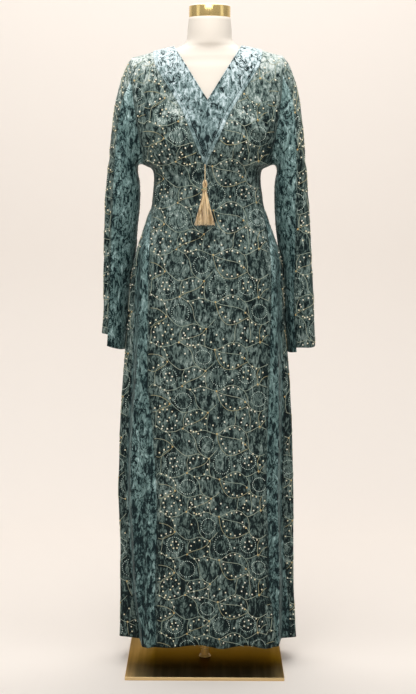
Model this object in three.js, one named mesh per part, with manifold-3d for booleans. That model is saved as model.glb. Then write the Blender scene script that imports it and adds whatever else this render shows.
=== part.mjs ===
// A long velvet jalabiya worn by a limbless dress form on a pole and a square plate.
// Millimetres. +Z is up, the front faces -Y and the viewer's left is -X.
import * as THREE from "three";
import { mergeVertices } from "three/addons/utils/BufferGeometryUtils.js";
import Module from "manifold-3d";

const wasm = await Module();
wasm.setup();

// ---- driving sizes --------------------------------------------------------------
const WALL = 1.5;              // velvet with its pile
const BAND_WALL = 1.0;         // yoke and edging
const LAID_GAP = 0.3;          // between a band and the cloth it lies on
const PULL = 0.2;              // each panel stops this far short of a seam line
const HEM = 58;
const GORE_TOP = 1098;
const UNDERARM = 1197;
const TIP = 1452;              // height of the shoulder tip
const RIDGE = 1476.5;          // height of the shoulder ridge beside the neck
const NECK_HALF = 81;          // half the neck opening, along the ridge
const TIP_HALF = 178;
const V_BOTTOM = 1346;
const BACK_NECK_DROP = 31;
const SHOULDER_TILT = 0.016;   // the right shoulder stands a little higher
const ARM_DEPTH = 50;          // half the depth of the armhole
const ARM_SQUARE = 2.3;
const SLEEVE_SQUARE = 2.2;
const ARM_CELLS = 10;          // rows of cloth up each side of the armhole
const STRIP_CELLS = 7;         // of these and the underarm, the plain sleeve strip takes the first
const BUST = { x: 74, z: 1244, wide: 46, high: 52, out: 9 };

const PLATE = { side: 372, thick: 8 };
const POLE_RADIUS = 9.2;
const FLANGE = { radius: 15, high: 5 };
const FORM_BOTTOM = 806;
const NECK = { x: 4, radius: 48.8, bandLow: 1543, bandTop: 1569, plateTop: 1573 };
const FORM_CLEAR = 0.6;        // form to the inside of the cloth at the shoulders
const FORM_TRIM = 4;           // how far outside the cloth the form is cut away
const NECK_EASE = 2.5;         // and further in, front and back, so that only the ridge carries

// ---- tables ---------------------------------------------------------------------
function columns(names, rows) {
  const keys = names.split(" ");
  return rows.map((row) => Object.fromEntries(keys.map((key, i) => [key, row[i]])));
}

// Half widths and depths of the dress at each height; square is the exponent of the ring.
const BODY = columns("z left right front back square", [
  [58, 208, 222, 124, 134, 2.5],
  [110, 206, 218.5, 123, 131, 2.5],
  [200, 206, 214.5, 120, 128, 2.5],
  [300, 206, 213, 117, 125, 2.5],
  [400, 210.5, 212.3, 115, 123, 2.5],
  [500, 208.5, 209.2, 113, 121, 2.5],
  [570, 207, 207, 112, 120, 2.5],
  [665, 201.5, 201.5, 112, 121, 2.5],
  [745, 195.5, 195.5, 113, 123, 2.5],
  [805, 189.5, 188.5, 114, 124, 2.5],
  [870, 185.5, 185.5, 114, 123, 2.45],
  [925, 180.5, 183.5, 113, 119, 2.4],
  [990, 169, 175.5, 109, 111, 2.35],
  [1020, 159.5, 164, 106, 105, 2.3],
  [1070, 143, 145.5, 100, 94, 2.25],
  [1098, 132.5, 136, 97, 89, 2.2],
  [1115, 130, 132.5, 96.5, 87, 2.2],
  [1142, 127.6, 129, 98.5, 85.5, 2.1],
  [1160, 126.4, 127.1, 101, 85, 2.0],
  [1180, 128, 128, 106, 86, 1.84],
  [1190, 134.5, 133.5, 109, 87.5, 1.73],
  [1197, 150, 149, 111, 88, 1.65],
  [1219, 153, 152, 115, 91, 1.65],
  [1248, 158, 157, 117, 95, 1.8],
  [1286, 165, 163, 110, 99, 2.0],
  [1323, 170, 168, 99, 100, 2.1],
  [1361, 175, 173, 87, 96, 2.1],
  [1400, 178, 176, 75, 86, 2.1],
  [1425, 178.5, 176, 66, 75, 2.1],
  [1440, 178.5, 176, 59, 66, 2.1],
  [1456, 178.5, 176, 46, 52, 2.1],
  [1470.5, 178.5, 176, 24, 27, 2.1],
  [1476.5, 178.5, 176, 0, 0, 2.1],
]);

// How far out the gore's front seam stands, the edge where it turns back into a deep fold, and the
// seam behind that edge, on each side; sink is the share by which the cloth behind the edge lies back.
const GORE = columns("z seamLeft edgeLeft foldLeft seamRight edgeRight foldRight sink", [
  [58, 116, 154, 161, 172, 181, 206, 0.82],
  [100, 116, 157, 164, 168, 182, 204, 0.82],
  [153, 118, 166, 173, 160, 183, 200, 0.8],
  [202, 118, 171, 178, 152, 183, 196, 0.79],
  [300, 115.5, 176, 183, 150, 180, 187, 0.77],
  [425, 115.5, 183, 190, 144, 176, 183, 0.74],
  [509, 121, 182, 189, 144.5, 177, 184, 0.72],
  [600, 128, 178, 185, 146, 178, 185, 0.68],
  [680, 138, 172, 179, 149, 176, 183, 0.62],
  [800, 138, 166, 173, 151, 173, 180, 0.5],
  [930, 137, 160, 167, 152, 169, 176, 0.38],
  [1000, 135, 152, 158, 148, 161, 167, 0.28],
  [1040, 134, 144.5, 149, 142, 150, 156, 0.18],
  [1075, 131.5, 136.5, 139.5, 136, 138.5, 142, 0.08],
  [1098, 132.4, 132.45, 132.5, 135.9, 135.95, 136, 0],
]);
const EDGE_ROUND = 6;          // how gently the gore turns at that edge

// The sleeve's head turns about the underarm: each section runs from an inner to an outer point.
const SLEEVE_HEAD = columns("inX inZ outX outZ", [
  [153.5, 1198.5, 190, 1434],
  [157, 1199, 200.5, 1410],
  [160, 1198.5, 209.5, 1382],
  [162.5, 1197, 217, 1349],
  [164, 1194.5, 223, 1310],
  [165, 1191, 227.5, 1272],
  [165, 1185, 231, 1236],
  [164, 1176, 235, 1196],
]);
const SLEEVE_ARM = columns("z inLeft outLeft inRight outRight inY outY half", [
  [1196, 164, 235, 164, 234.5, -2, -2, 48],
  [1150, 159.5, 239.5, 160, 238, -1, -4, 45],
  [1100, 160, 242, 160.5, 241.5, 6, -7, 43],
  [1050, 165.5, 244, 164.5, 245.5, 21, -10, 42],
  [1000, 169.5, 245, 171.5, 248, 34, -14, 42],
  [950, 174.8, 245.5, 179.2, 251, 38, -17, 43],
  [900, 181.3, 245, 182.8, 253.5, 40, -19, 45],
  [850, 185, 245, 185, 255.5, 40, -20, 47],
  [810, 187.5, 248, 186.8, 257.5, 40, -20, 49],
  [757, 193, 250.5, 194, 260, 40, -20, 50],
]);
// The angle of the seam between the plain strip and the embroidered cloth, round from the inside.
const STRIP_SEAM = columns("z left right", [
  [757, 118, 70],
  [900, 116, 74],
  [1033, 118, 93],
  [1233, 121, 107],
  [1399, 126, 126],
]);
// Cuff heights along the strip, from the inside to its seam, and on round the embroidered cloth.
const STRIP_CUFF = columns("share left right", [
  [0, 757, 753],
  [0.5, 759, 752],
  [1, 770, 755],
]);
const BACK_CUFF = columns("share left right", [
  [0, 797, 766],
  [0.25, 799, 769],
  [0.45, 798, 774],
  [0.75, 780, 766],
  [1, 757, 753],
]);
// Behind the strip the cloth dips into a narrow fold, this deep and this many columns from the seam.
const STRIP_FOLD = { deep: 5, column: STRIP_CELLS + 1, wide: 0.8 };

// Soft folds: a line from (x1,z1) to (x2,z2) on the front or back, its width and height (+ is out).
const FOLDS = columns("face x1 z1 x2 z2 wide out", [
  ["front", -148, 1262, -72, 1305, 11, 5],
  ["front", -150, 1240, -84, 1275, 9, -5],
  ["front", -128, 1228, -112, 1290, 8, 4],
  ["front", 148, 1262, 76, 1302, 11, 5],
  ["front", 150, 1236, 96, 1268, 9, -5],
  ["front", -122, 1158, -70, 1108, 9, -4],
  ["front", 120, 1160, 78, 1115, 9, -4],
  ["front", -28, 1018, 62, 1012, 9, -4],
  ["front", -88, 58, -96, 420, 20, 5],
  ["front", -46, 58, -40, 330, 18, -5],
  ["front", 22, 58, 18, 360, 20, 4],
  ["front", 70, 58, 62, 400, 22, -5],
  ["front", 124, 58, 112, 460, 20, 5],
  ["front", -150, 600, -150, 1000, 12, 4],
  ["front", 160, 700, 160, 1000, 10, 3],
  ["back", -120, 58, -96, 620, 26, 8],
  ["back", -62, 58, -52, 500, 24, -8],
  ["back", 4, 58, 0, 640, 26, 8],
  ["back", 66, 58, 54, 520, 24, -8],
  ["back", 128, 58, 102, 660, 26, 8],
  ["back", -96, 1180, -20, 1100, 12, -4],
  ["back", 96, 1184, 22, 1106, 12, -4],
  ["back", -150, 1240, -70, 1310, 13, -5],
  ["back", 150, 1240, 72, 1306, 13, -5],
]);
// The front hem rises and falls across the panel.
const HEM_LINE = columns("x lift", [
  [-190, 0], [-142, -3], [-119, 1], [-60, 3], [-13, 6], [15, 0], [45, -3], [91, 5], [113, 5],
  [148, -3], [176, -1], [215, 0],
]);

// Outline of the yoke's outer edge, right half, from the shoulder ridge to its point.
const YOKE_EDGE = columns("x z", [
  [129, 1476], [127, 1455], [121, 1428], [110, 1408], [94, 1382], [76, 1354], [55, 1318], [37, 1276],
  [24, 1245], [12, 1219], [0, 1193],
]);
const YOKE_POINT_X = -4.5;
const YOKE_LEAN_TOP = 1400;    // above this the yoke no longer leans to its point
const EDGING_WIDTH = 9;
const MITRE = 1.9;             // how far up the edging's width reaches at the point
const BAND_CUT = { near: -160, far: 6, over: 8 };

// The dress form, from below: half width, front and back half depth, sideways shift.
const FORM = columns("z half front back shift square", [
  [806, 132, 78, 84, 0, 2.2],
  [812, 141, 86, 93, 0, 2.2],
  [830, 147, 90, 99, 0, 2.2],
  [880, 150, 92, 102, 0, 2.2],
  [930, 147, 92, 98, 0, 2.2],
  [980, 140, 91, 89, 0, 2.2],
  [1030, 130, 88, 79, 0, 2.2],
  [1070, 122, 86, 74, 0, 2.2],
  [1100, 118, 86, 74, 0, 2.2],
  [1140, 117, 89, 76, 0, 2.2],
  [1180, 119, 97, 79, 0, 2.2],
  [1215, 122, 106, 83, 0, 2.2],
  [1248, 126, 110, 88, 0, 2.2],
  [1286, 137, 102, 93, 0, 2.2],
  [1323, 150, 91, 94, 0, 2.2],
  [1361, 159, 79, 90, 0, 2.2],
  [1400, 165, 67, 79, 0, 2.2],
  [1425, 167, 60, 68, 0, 2.2],
  [1440, 165, 53, 58, 0.5, 2.15],
  [1452, 150, 50.5, 53, 1, 2.1],
  [1461, 124, 47.5, 50, 2, 2.05],
  [1469, 96, 46, 49, 3, 2.0],
  [1475, 72, 47, 49, 3.5, 2.0],
  [1482, 60, 49.5, 49.5, 4, 2.0],
  [1493, 53.5, 50, 50, 4, 2.0],
  [1514, 51.8, 50.5, 50.5, 4, 2.0],
  [1542.7, 49, 49, 49, 4, 2.0],
]);

const TASSEL = {
  x: -5, y: -114, cordTop: 1198.5, cordRadius: 1.1, headTop: 1162.5, headBottom: 1141,
  headRadius: 6, tip: 1056, halfWide: 25, halfDeep: 9, strands: 40, strandRadius: 1.2,
};

const COLOURS = {
  velvet: 0x46666b, plain: 0x56797f, trim: 0x6d9096, form: 0xefe6d6, brass: 0xb08a45, gold: 0xc9a36a,
};

// ---- small maths ----------------------------------------------------------------
const rad = (degrees) => degrees * Math.PI / 180;
const lerp = (a, b, t) => a + (b - a) * t;
const power = (value, n) => Math.abs(value) ** (2 / n);
function smooth(low, high, value) {
  const t = Math.min(1, Math.max(0, (value - low) / (high - low)));
  return t * t * (3 - 2 * t);
}
// Smooth curve through one column of a table.
function curve(table, key, name) {
  const sorted = [...table].sort((a, b) => a[key] - b[key]);
  const xs = sorted.map((row) => row[key]);
  const ys = sorted.map((row) => row[name]);
  const last = xs.length - 1;
  const slope = (i) => {
    const a = Math.max(0, i - 1);
    const b = Math.min(last, i + 1);
    return (ys[b] - ys[a]) / (xs[b] - xs[a]);
  };
  return (x) => {
    if (x <= xs[0]) return ys[0];
    if (x >= xs[last]) return ys[last];
    let i = 0;
    while (xs[i + 1] < x) i += 1;
    const span = xs[i + 1] - xs[i];
    const t = (x - xs[i]) / span;
    const a = 2 * t ** 3 - 3 * t * t + 1;
    const b = t ** 3 - 2 * t * t + t;
    const c = 3 * t * t - 2 * t ** 3;
    const d = t ** 3 - t * t;
    return a * ys[i] + b * span * slope(i) + c * ys[i + 1] + d * span * slope(i + 1);
  };
}
function curves(table, key) {
  const out = {};
  for (const name of Object.keys(table[0])) {
    if (name !== key) out[name] = curve(table, key, name);
  }
  return out;
}
const body = curves(BODY, "z");
const gore = curves(GORE, "z");
const arm = curves(SLEEVE_ARM, "z");
const stripSeam = curves(STRIP_SEAM, "z");
const stripCuff = curves(STRIP_CUFF, "share");
const backCuff = curves(BACK_CUFF, "share");
const form = curves(FORM, "z");
const hemLift = curve(HEM_LINE, "x", "lift");
const halfWidth = (side, z) => (side < 0 ? body.left(z) : body.right(z));

// ---- the dress as a surface -----------------------------------------------------
const ridgeDrop = (x) => (RIDGE - TIP) * smooth(NECK_HALF - 14, TIP_HALF + 22, Math.abs(x)) /
  smooth(NECK_HALF - 14, TIP_HALF + 22, TIP_HALF);
const ridgeHeight = (x) => RIDGE - ridgeDrop(x);
// Half depth of the armhole at a height measured at the shoulder tip.
function armDepth(z) {
  const middle = (UNDERARM + TIP) / 2;
  const s = Math.min(1, Math.abs(z - middle) / (TIP - middle));
  return ARM_DEPTH * (1 - s ** ARM_SQUARE) ** (1 / ARM_SQUARE);
}
// Depth of the dress over the shoulders and chest, at any x and z.
function chestDepth(x, z, back) {
  const near = smooth(1290, 1400, z);
  const high = z + ridgeDrop(x) * near;
  const low = high - (RIDGE - TIP) * near;
  const n = body.square(high);
  const u = Math.min(1, Math.abs(x) / halfWidth(x, low));
  const c = (1 - u ** n) ** (1 / n);
  const depth = Math.max(0, back ? body.back(high) : body.front(high));
  return armDepth(low) * (1 - c) + depth * c;
}
function foldOut(x, z, back) {
  let out = 0;
  for (const fold of FOLDS) {
    if ((fold.face === "back") !== back) continue;
    const dx = fold.x2 - fold.x1;
    const dz = fold.z2 - fold.z1;
    const along = ((x - fold.x1) * dx + (z - fold.z1) * dz) / (dx * dx + dz * dz);
    const t = Math.min(1, Math.max(0, along));
    const away = Math.hypot(x - fold.x1 - dx * t, z - fold.z1 - dz * t) / fold.wide;
    out += fold.out * Math.exp(-away * away);
  }
  if (!back) {
    const across = (Math.abs(x) - BUST.x) / BUST.wide;
    const up = (z - BUST.z) / BUST.high;
    out += BUST.out * Math.exp(-across * across - up * up);
  }
  return out;
}
function tilt(point) {
  const share = smooth(1230, 1400, point.z) * (1 - smooth(1479, 1500, point.z));
  point.z += SHOULDER_TILT * point.x * share;
  return point;
}
// Top edge of the front (with its V) and of the back (with its shallow neck).
function topEdge(x, back) {
  const t = Math.min(1, Math.abs(x) / NECK_HALF);
  if (t >= 1) return ridgeHeight(x);
  if (back) return RIDGE - BACK_NECK_DROP * (1 - t ** 2.4);
  return lerp(V_BOTTOM, RIDGE, t);
}
// A point of the dress: angle 0 is the middle of the front, +-90 the sides, 180 the back;
// level is the height of this row at the side; rear puts a point at the very side on the back.
function dress(angle, level, rear = false) {
  const back = Math.abs(angle) > 90 || (rear && Math.abs(angle) === 90);
  const side = Math.sign(angle) || 1;
  const n = body.square(level);
  const x = side * halfWidth(side, level) * power(Math.sin(rad(angle)), n);
  if (level > UNDERARM) {
    const topX = side * halfWidth(side, TIP) * power(Math.sin(rad(angle)), body.square(TIP));
    const share = (level - UNDERARM) / (TIP - UNDERARM);
    const z = lerp(UNDERARM, topEdge(topX, back), share);
    const edge = smooth(0, 12, RIDGE - ridgeDrop(x) - z) * smooth(90, 78, 90 - Math.abs(90 - Math.abs(angle)));
    const depth = chestDepth(x, z, back) + foldOut(x, z, back) * edge;
    return tilt(new THREE.Vector3(x, back ? depth : -depth, z));
  }
  const c = power(Math.cos(rad(angle)), n);
  const depth = back ? body.back(level) : body.front(level);
  const facing = smooth(0, 0.35, c);
  const out = foldOut(x, level, back) * facing;
  const lift = back ? 0 : hemLift(x) * facing * (1 - smooth(HEM, 150, level));
  return new THREE.Vector3(x, (back ? 1 : -1) * (depth * c + out), level + lift);
}
// Angle at which the ring at this height reaches a given half width on the front.
function angleAt(side, z, half) {
  const ratio = Math.min(1, half / halfWidth(side, z));
  return Math.asin(ratio ** (body.square(z) / 2)) * 180 / Math.PI;
}
function seamAngle(side, z) {
  if (z > GORE_TOP) return 90;
  if (z === GORE_TOP) return 89.5;
  return angleAt(side, z, side < 0 ? gore.seamLeft(z) : gore.seamRight(z));
}
function foldAngle(side, z) {
  if (z > GORE_TOP) return 90;
  if (z === GORE_TOP) return 90.5;
  return angleAt(side, z, side < 0 ? gore.foldLeft(z) : gore.foldRight(z));
}
// The dress with the deep fold beside the gore: the cloth behind the gore's edge lies back.
function dressFold(side, angle, level, gored) {
  const point = dress(side * angle, level, level > GORE_TOP);
  if (level >= GORE_TOP || point.y > 0) return point;
  const [seam, edge, seamBehind] = side < 0
    ? [gore.seamLeft(level), gore.edgeLeft(level), gore.foldLeft(level)]
    : [gore.seamRight(level), gore.edgeRight(level), gore.foldRight(level)];
  const from = Math.max(edge - EDGE_ROUND, seam);
  const to = Math.min(edge + EDGE_ROUND, seamBehind);
  const felt = gored ? smooth(from, to, Math.abs(point.x)) : 1;
  point.y *= 1 - gore.sink(level) * felt;
  return point;
}

// ---- sheets: open grids thickened inwards ----------------------------------------
const seamNormals = new Map();
const keyOf = (p) => `${Math.round(p.x * 500)},${Math.round(p.y * 500)},${Math.round(p.z * 500)}`;
class Sheet {
  // grid[row][column] are points, seen from outside with columns to the right and rows up
  constructor(name, colour, grid) {
    this.name = name;
    this.colour = colour;
    this.grid = grid;
    this.addNormals();
  }

  corners(r, c) {
    const g = this.grid;
    return [g[r][c], g[r][c + 1], g[r + 1][c + 1], g[r + 1][c]];
  }

  addNormals() {
    const rows = this.grid.length - 1;
    const cols = this.grid[0].length - 1;
    for (let r = 0; r < rows; r += 1) {
      for (let c = 0; c < cols; c += 1) {
        const [p, q, s, t] = this.corners(r, c);
        const normal = new THREE.Vector3().subVectors(s, p).cross(new THREE.Vector3().subVectors(t, q));
        for (const corner of [p, q, s, t]) {
          const key = keyOf(corner);
          if (!seamNormals.has(key)) seamNormals.set(key, new THREE.Vector3());
          seamNormals.get(key).add(normal);
        }
      }
    }
  }

  // Normals, and points pulled back from every edge so that seams stay open by a hair.
  prepare() {
    const g = this.grid;
    const lastR = g.length - 1;
    const lastC = g[0].length - 1;
    this.normals = g.map((row) => row.map((p) => seamNormals.get(keyOf(p)).clone().normalize()));
    this.points = g.map((row, r) => row.map((p, c) => {
      const moved = p.clone();
      const towards = (q) => {
        const step = q.clone().sub(p);
        const along = this.normals[r][c];
        step.addScaledVector(along, -step.dot(along));
        moved.addScaledVector(step.normalize(), PULL);
      };
      if (c === 0) towards(g[r][1]);
      if (c === lastC) towards(g[r][lastC - 1]);
      if (r === 0) towards(g[1][c]);
      if (r === lastR) towards(g[lastR - 1][c]);
      return moved;
    }));
  }

  // Closed solid between two offsets from the surface, both measured outwards.
  solid(outer, inner, firstRow = 0) {
    const rows = this.points.length;
    const cols = this.points[0].length;
    const positions = [];
    const used = rows - firstRow;
    for (const offset of [outer, inner]) {
      for (let r = firstRow; r < rows; r += 1) {
        for (let c = 0; c < cols; c += 1) {
          const p = this.points[r][c].clone().addScaledVector(this.normals[r][c], offset);
          positions.push(p.x, p.y, p.z);
        }
      }
    }
    const at = (layer, r, c) => layer * used * cols + r * cols + c;
    const index = [];
    const quad = (a, b, c, d) => index.push(a, b, c, a, c, d);
    for (let r = 0; r < used - 1; r += 1) {
      for (let c = 0; c < cols - 1; c += 1) {
        const flip = c >= (cols - 1) / 2;
        const top = [at(0, r, c), at(0, r, c + 1), at(0, r + 1, c + 1), at(0, r + 1, c)];
        const low = [at(1, r, c), at(1, r, c + 1), at(1, r + 1, c + 1), at(1, r + 1, c)];
        if (flip) {
          quad(top[1], top[2], top[3], top[0]);
          quad(low[1], low[0], low[3], low[2]);
        } else {
          quad(...top);
          quad(low[0], low[3], low[2], low[1]);
        }
      }
    }
    for (let c = 0; c < cols - 1; c += 1) {
      quad(at(0, 0, c), at(1, 0, c), at(1, 0, c + 1), at(0, 0, c + 1));
      const r = used - 1;
      quad(at(0, r, c), at(0, r, c + 1), at(1, r, c + 1), at(1, r, c));
    }
    for (let r = 0; r < used - 1; r += 1) {
      quad(at(0, r, 0), at(0, r + 1, 0), at(1, r + 1, 0), at(1, r, 0));
      const c = cols - 1;
      quad(at(0, r, c), at(1, r, c), at(1, r + 1, c), at(0, r + 1, c));
    }
    const geometry = new THREE.BufferGeometry();
    geometry.setAttribute("position", new THREE.Float32BufferAttribute(positions, 3));
    geometry.setIndex(index);
    return geometry;
  }
}

// Row heights, measured at the side seam.
const SKIRT_ROWS = [58, 86, 130, 185, 245, 310, 375, 440, 500, 560, 620, 680, 740, 795, 850, 900, 945, 985,
  1020, 1050, 1075];
const BAND_START = 1162;       // the row below the yoke's point
const WAIST_ROWS = [GORE_TOP, 1120, 1142, BAND_START, 1180, 1190, UNDERARM];
const armholeLevel = (i) => {
  const middle = (UNDERARM + TIP) / 2;
  const c = Math.cos(rad(180 * i / ARM_CELLS));
  return middle - Math.sign(c) * (TIP - middle) * power(c, ARM_SQUARE);
};
const CHEST_ROWS = [];
for (let i = 1; i <= ARM_CELLS; i += 1) CHEST_ROWS.push(armholeLevel(i));
const ALL_ROWS = [...SKIRT_ROWS, ...WAIST_ROWS, ...CHEST_ROWS];

// Columns, as shares of the way from the middle to the seam, one of them through the neck point.
const neckAngle = Math.asin((NECK_HALF / TIP_HALF) ** (body.square(TIP) / 2)) * 180 / Math.PI;
const FRONT_SHARES = [];
for (let i = 0; i <= 4; i += 1) FRONT_SHARES.push(neckAngle / 90 * i / 4);
for (let i = 1; i <= 8; i += 1) FRONT_SHARES.push(lerp(neckAngle / 90, 1, i / 8));
const BACK_CHEST_SHARES = [...FRONT_SHARES].reverse().map((t) => 1 - t);
const BACK_SKIRT_SHARES = [0, 0.045, 0.1, 0.18, 0.27, 0.37, 0.48, 0.6, 0.71, 0.79, 0.86, 0.93, 1];
const GORE_SHARES = [0, 0.26, 0.5, 0.72, 0.88, 1];

function frontPanel() {
  return ALL_ROWS.map((level) => {
    const left = [...FRONT_SHARES].reverse().slice(0, -1).map((t) => dress(-t * seamAngle(-1, level), level));
    const right = FRONT_SHARES.map((t) => dress(t * seamAngle(1, level), level));
    return [...left, ...right];
  });
}
function backPanel() {
  const half = (side, level) => BACK_SKIRT_SHARES.map((share, i) => {
    const from = foldAngle(side, level);
    const t = lerp(share, BACK_CHEST_SHARES[i], smooth(GORE_TOP, UNDERARM, level));
    return dressFold(side, lerp(from, 180, t), level, false);
  });
  return ALL_ROWS.map((level) => {
    const right = half(1, level);
    const left = half(-1, level).reverse();
    left[0] = right[right.length - 1];
    return [...right, ...left.slice(1)];
  });
}
function sideGore(side) {
  return [...SKIRT_ROWS, GORE_TOP].map((level) => {
    const row = GORE_SHARES.map((t) =>
      dressFold(side, lerp(seamAngle(side, level), foldAngle(side, level), t), level, true));
    return side < 0 ? row.reverse() : row;
  });
}

// ---- sleeves --------------------------------------------------------------------
function sleeveAngle(side, z, column) {
  const seam = side < 0 ? stripSeam.left(z) : stripSeam.right(z);
  if (column <= STRIP_CELLS) return seam * column / STRIP_CELLS;
  return lerp(seam, 360, (column - STRIP_CELLS) / (2 * ARM_CELLS - STRIP_CELLS));
}
// inner and outer are the section's innermost and outermost points, half its half depth.
function sleeveSection(side, inner, outer, half, column) {
  const angle = sleeveAngle(side, outer.z, column);
  const c = Math.cos(rad(angle));
  const s = Math.sin(rad(angle));
  const along = -Math.sign(c) * power(c, SLEEVE_SQUARE);
  const across = -Math.sign(s) * power(s, SLEEVE_SQUARE);
  const point = new THREE.Vector3().lerpVectors(inner, outer, (along + 1) / 2);
  point.y += across * half;
  return point;
}
const SLEEVE_ROWS = [1150, 1100, 1050, 1000, 950, 900, 850, 810];
const SLEEVE_COLUMNS = Array.from({ length: 2 * ARM_CELLS + 1 }, (_, column) => column);
function armholePoint(side, column) {
  const i = column <= ARM_CELLS ? column : 2 * ARM_CELLS - column;
  const level = i === 0 ? UNDERARM : armholeLevel(i);
  return dress(side * 90, level, column > ARM_CELLS);
}
function headPoint(side, row, k, column) {
  const t = (k + 1) / SLEEVE_HEAD.length;
  const top = SLEEVE_ARM[0];
  const inner = new THREE.Vector3(side * row.inX, top.inY * t, row.inZ);
  const outer = new THREE.Vector3(side * row.outX, top.outY * t, row.outZ);
  return tilt(sleeveSection(side, inner, outer, lerp(ARM_DEPTH, top.half, t), column));
}
function armPoint(side, z, column) {
  const inX = side < 0 ? arm.inLeft(z) : arm.inRight(z);
  const outX = side < 0 ? arm.outLeft(z) : arm.outRight(z);
  const inner = new THREE.Vector3(side * inX, arm.inY(z), z);
  const outer = new THREE.Vector3(side * outX, arm.outY(z), z);
  const point = sleeveSection(side, inner, outer, arm.half(z), column);
  const away = (column - STRIP_FOLD.column) / STRIP_FOLD.wide;
  const dip = STRIP_FOLD.deep * Math.exp(-away * away) * smooth(UNDERARM, UNDERARM - 100, z);
  const middle = inner.lerp(outer, 0.5);
  return point.addScaledVector(middle.sub(point).normalize(), column === STRIP_CELLS ? 0 : dip);
}
function cuffHeight(side, column, strip) {
  const share = strip ? column / STRIP_CELLS : (column - STRIP_CELLS) / (2 * ARM_CELLS - STRIP_CELLS);
  const table = strip ? stripCuff : backCuff;
  return side < 0 ? table.left(share) : table.right(share);
}
function sleevePiece(side, strip) {
  const kept = SLEEVE_COLUMNS.filter((column) => (strip ? column <= STRIP_CELLS : column >= STRIP_CELLS));
  // The strip hangs lower than the cloth it is sewn to, so it has one row more, where that ends.
  const rows = strip ? [...SLEEVE_ROWS, cuffHeight(side, STRIP_CELLS, false)] : SLEEVE_ROWS;
  const downwards = [
    kept.map((column) => armholePoint(side, column)),
    ...SLEEVE_HEAD.map((row, k) => kept.map((column) => headPoint(side, row, k, column))),
    ...rows.map((z) => kept.map((column) => armPoint(side, z, column))),
    kept.map((column) => armPoint(side, cuffHeight(side, column, strip), column)),
  ];
  const upwards = downwards.reverse();
  return side < 0 ? upwards.map((row) => row.reverse()) : upwards;
}

// ---- flat outlines laid on the front ----------------------------------------------
const yokeEdgeHalf = YOKE_EDGE.map((row) => [row.x, row.z]);
const YOKE_POINT_Z = YOKE_EDGE[YOKE_EDGE.length - 1].z;
function leanX(x, z) {
  return x + YOKE_POINT_X * (1 - smooth(YOKE_POINT_Z, YOKE_LEAN_TOP, z));
}
function offsetLine(points, distance) {
  return points.map((p, i) => {
    const before = points[Math.max(0, i - 1)];
    const after = points[Math.min(points.length - 1, i + 1)];
    const length = Math.hypot(after[0] - before[0], after[1] - before[1]);
    const nx = (after[1] - before[1]) / length;
    const nz = -(after[0] - before[0]) / length;
    return [p[0] + nx * distance, p[1] + nz * distance];
  });
}
// Right half of a band between two lines, mirrored to the left: a closed outline in x and z.
function bandOutline(outerLine, innerLine) {
  const right = outerLine.map(([x, z]) => [leanX(x, z), z]);
  const left = [...outerLine].reverse().map(([x, z]) => [leanX(-x, z), z]);
  const innerLeft = [...innerLine].reverse().map(([x, z]) => [leanX(-x, z), z]);
  const innerRight = innerLine.map(([x, z]) => [leanX(x, z), z]);
  return [...right, ...left.slice(1), ...innerLeft, ...innerRight.slice(1)];
}
function prism(outline, nearY, farY) {
  const shape = new THREE.Shape(outline.map(([x, z]) => new THREE.Vector2(x, z)));
  const geometry = new THREE.ExtrudeGeometry(shape, { depth: farY - nearY, bevelEnabled: false });
  geometry.rotateX(Math.PI / 2);
  geometry.translate(0, farY, 0);
  return geometry;
}
function toManifold(source) {
  const geometry = source.clone();
  geometry.deleteAttribute("normal");
  geometry.deleteAttribute("uv");
  const merged = mergeVertices(geometry, 1e-4);
  const vertProperties = new Float32Array(merged.getAttribute("position").array);
  const triVerts = new Uint32Array(merged.getIndex().array);
  return new wasm.Manifold(new wasm.Mesh({ numProp: 3, vertProperties, triVerts }));
}
function fromManifold(manifold) {
  const mesh = manifold.getMesh();
  const geometry = new THREE.BufferGeometry();
  geometry.setAttribute("position", new THREE.BufferAttribute(new Float32Array(mesh.vertProperties), 3));
  geometry.setIndex(new THREE.BufferAttribute(new Uint32Array(mesh.triVerts), 1));
  return geometry;
}

// ---- round and boxy parts --------------------------------------------------------
function cylinder(radiusTop, radiusBottom, low, high, x, y, sides) {
  const geometry = new THREE.CylinderGeometry(radiusTop, radiusBottom, high - low, sides);
  geometry.rotateX(Math.PI / 2);
  geometry.translate(x, y, (low + high) / 2);
  return geometry;
}
// Closed solid of stacked rings, all with the same number of points.
function stack(rings) {
  const count = rings[0].length;
  const positions = rings.flat().flatMap((p) => [p.x, p.y, p.z]);
  const index = [];
  for (let r = 0; r < rings.length - 1; r += 1) {
    for (let c = 0; c < count; c += 1) {
      const next = (c + 1) % count;
      const a = r * count + c;
      const b = r * count + next;
      index.push(a, b, b + count, a, b + count, a + count);
    }
  }
  for (const [ring, up] of [[rings[0], false], [rings[rings.length - 1], true]]) {
    const centre = ring.reduce((sum, p) => sum.add(p), new THREE.Vector3()).divideScalar(count);
    const middle = positions.length / 3;
    positions.push(centre.x, centre.y, centre.z);
    const base = up ? (rings.length - 1) * count : 0;
    for (let c = 0; c < count; c += 1) {
      const next = (c + 1) % count;
      if (up) index.push(middle, base + c, base + next);
      else index.push(middle, base + next, base + c);
    }
  }
  const geometry = new THREE.BufferGeometry();
  geometry.setAttribute("position", new THREE.Float32BufferAttribute(positions, 3));
  geometry.setIndex(index);
  return geometry;
}
function formSolid(sides) {
  const rings = FORM.map((row) => Array.from({ length: sides }, (_, i) => {
    const angle = rad(360 * i / sides);
    const back = Math.sin(angle) > 0;
    const x = Math.sign(Math.cos(angle)) * row.half * power(Math.cos(angle), row.square);
    const depth = (back ? row.back : row.front) * power(Math.sin(angle), row.square);
    return tilt(new THREE.Vector3(x + row.shift, back ? depth : -depth, row.z));
  }));
  return stack(rings);
}
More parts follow.
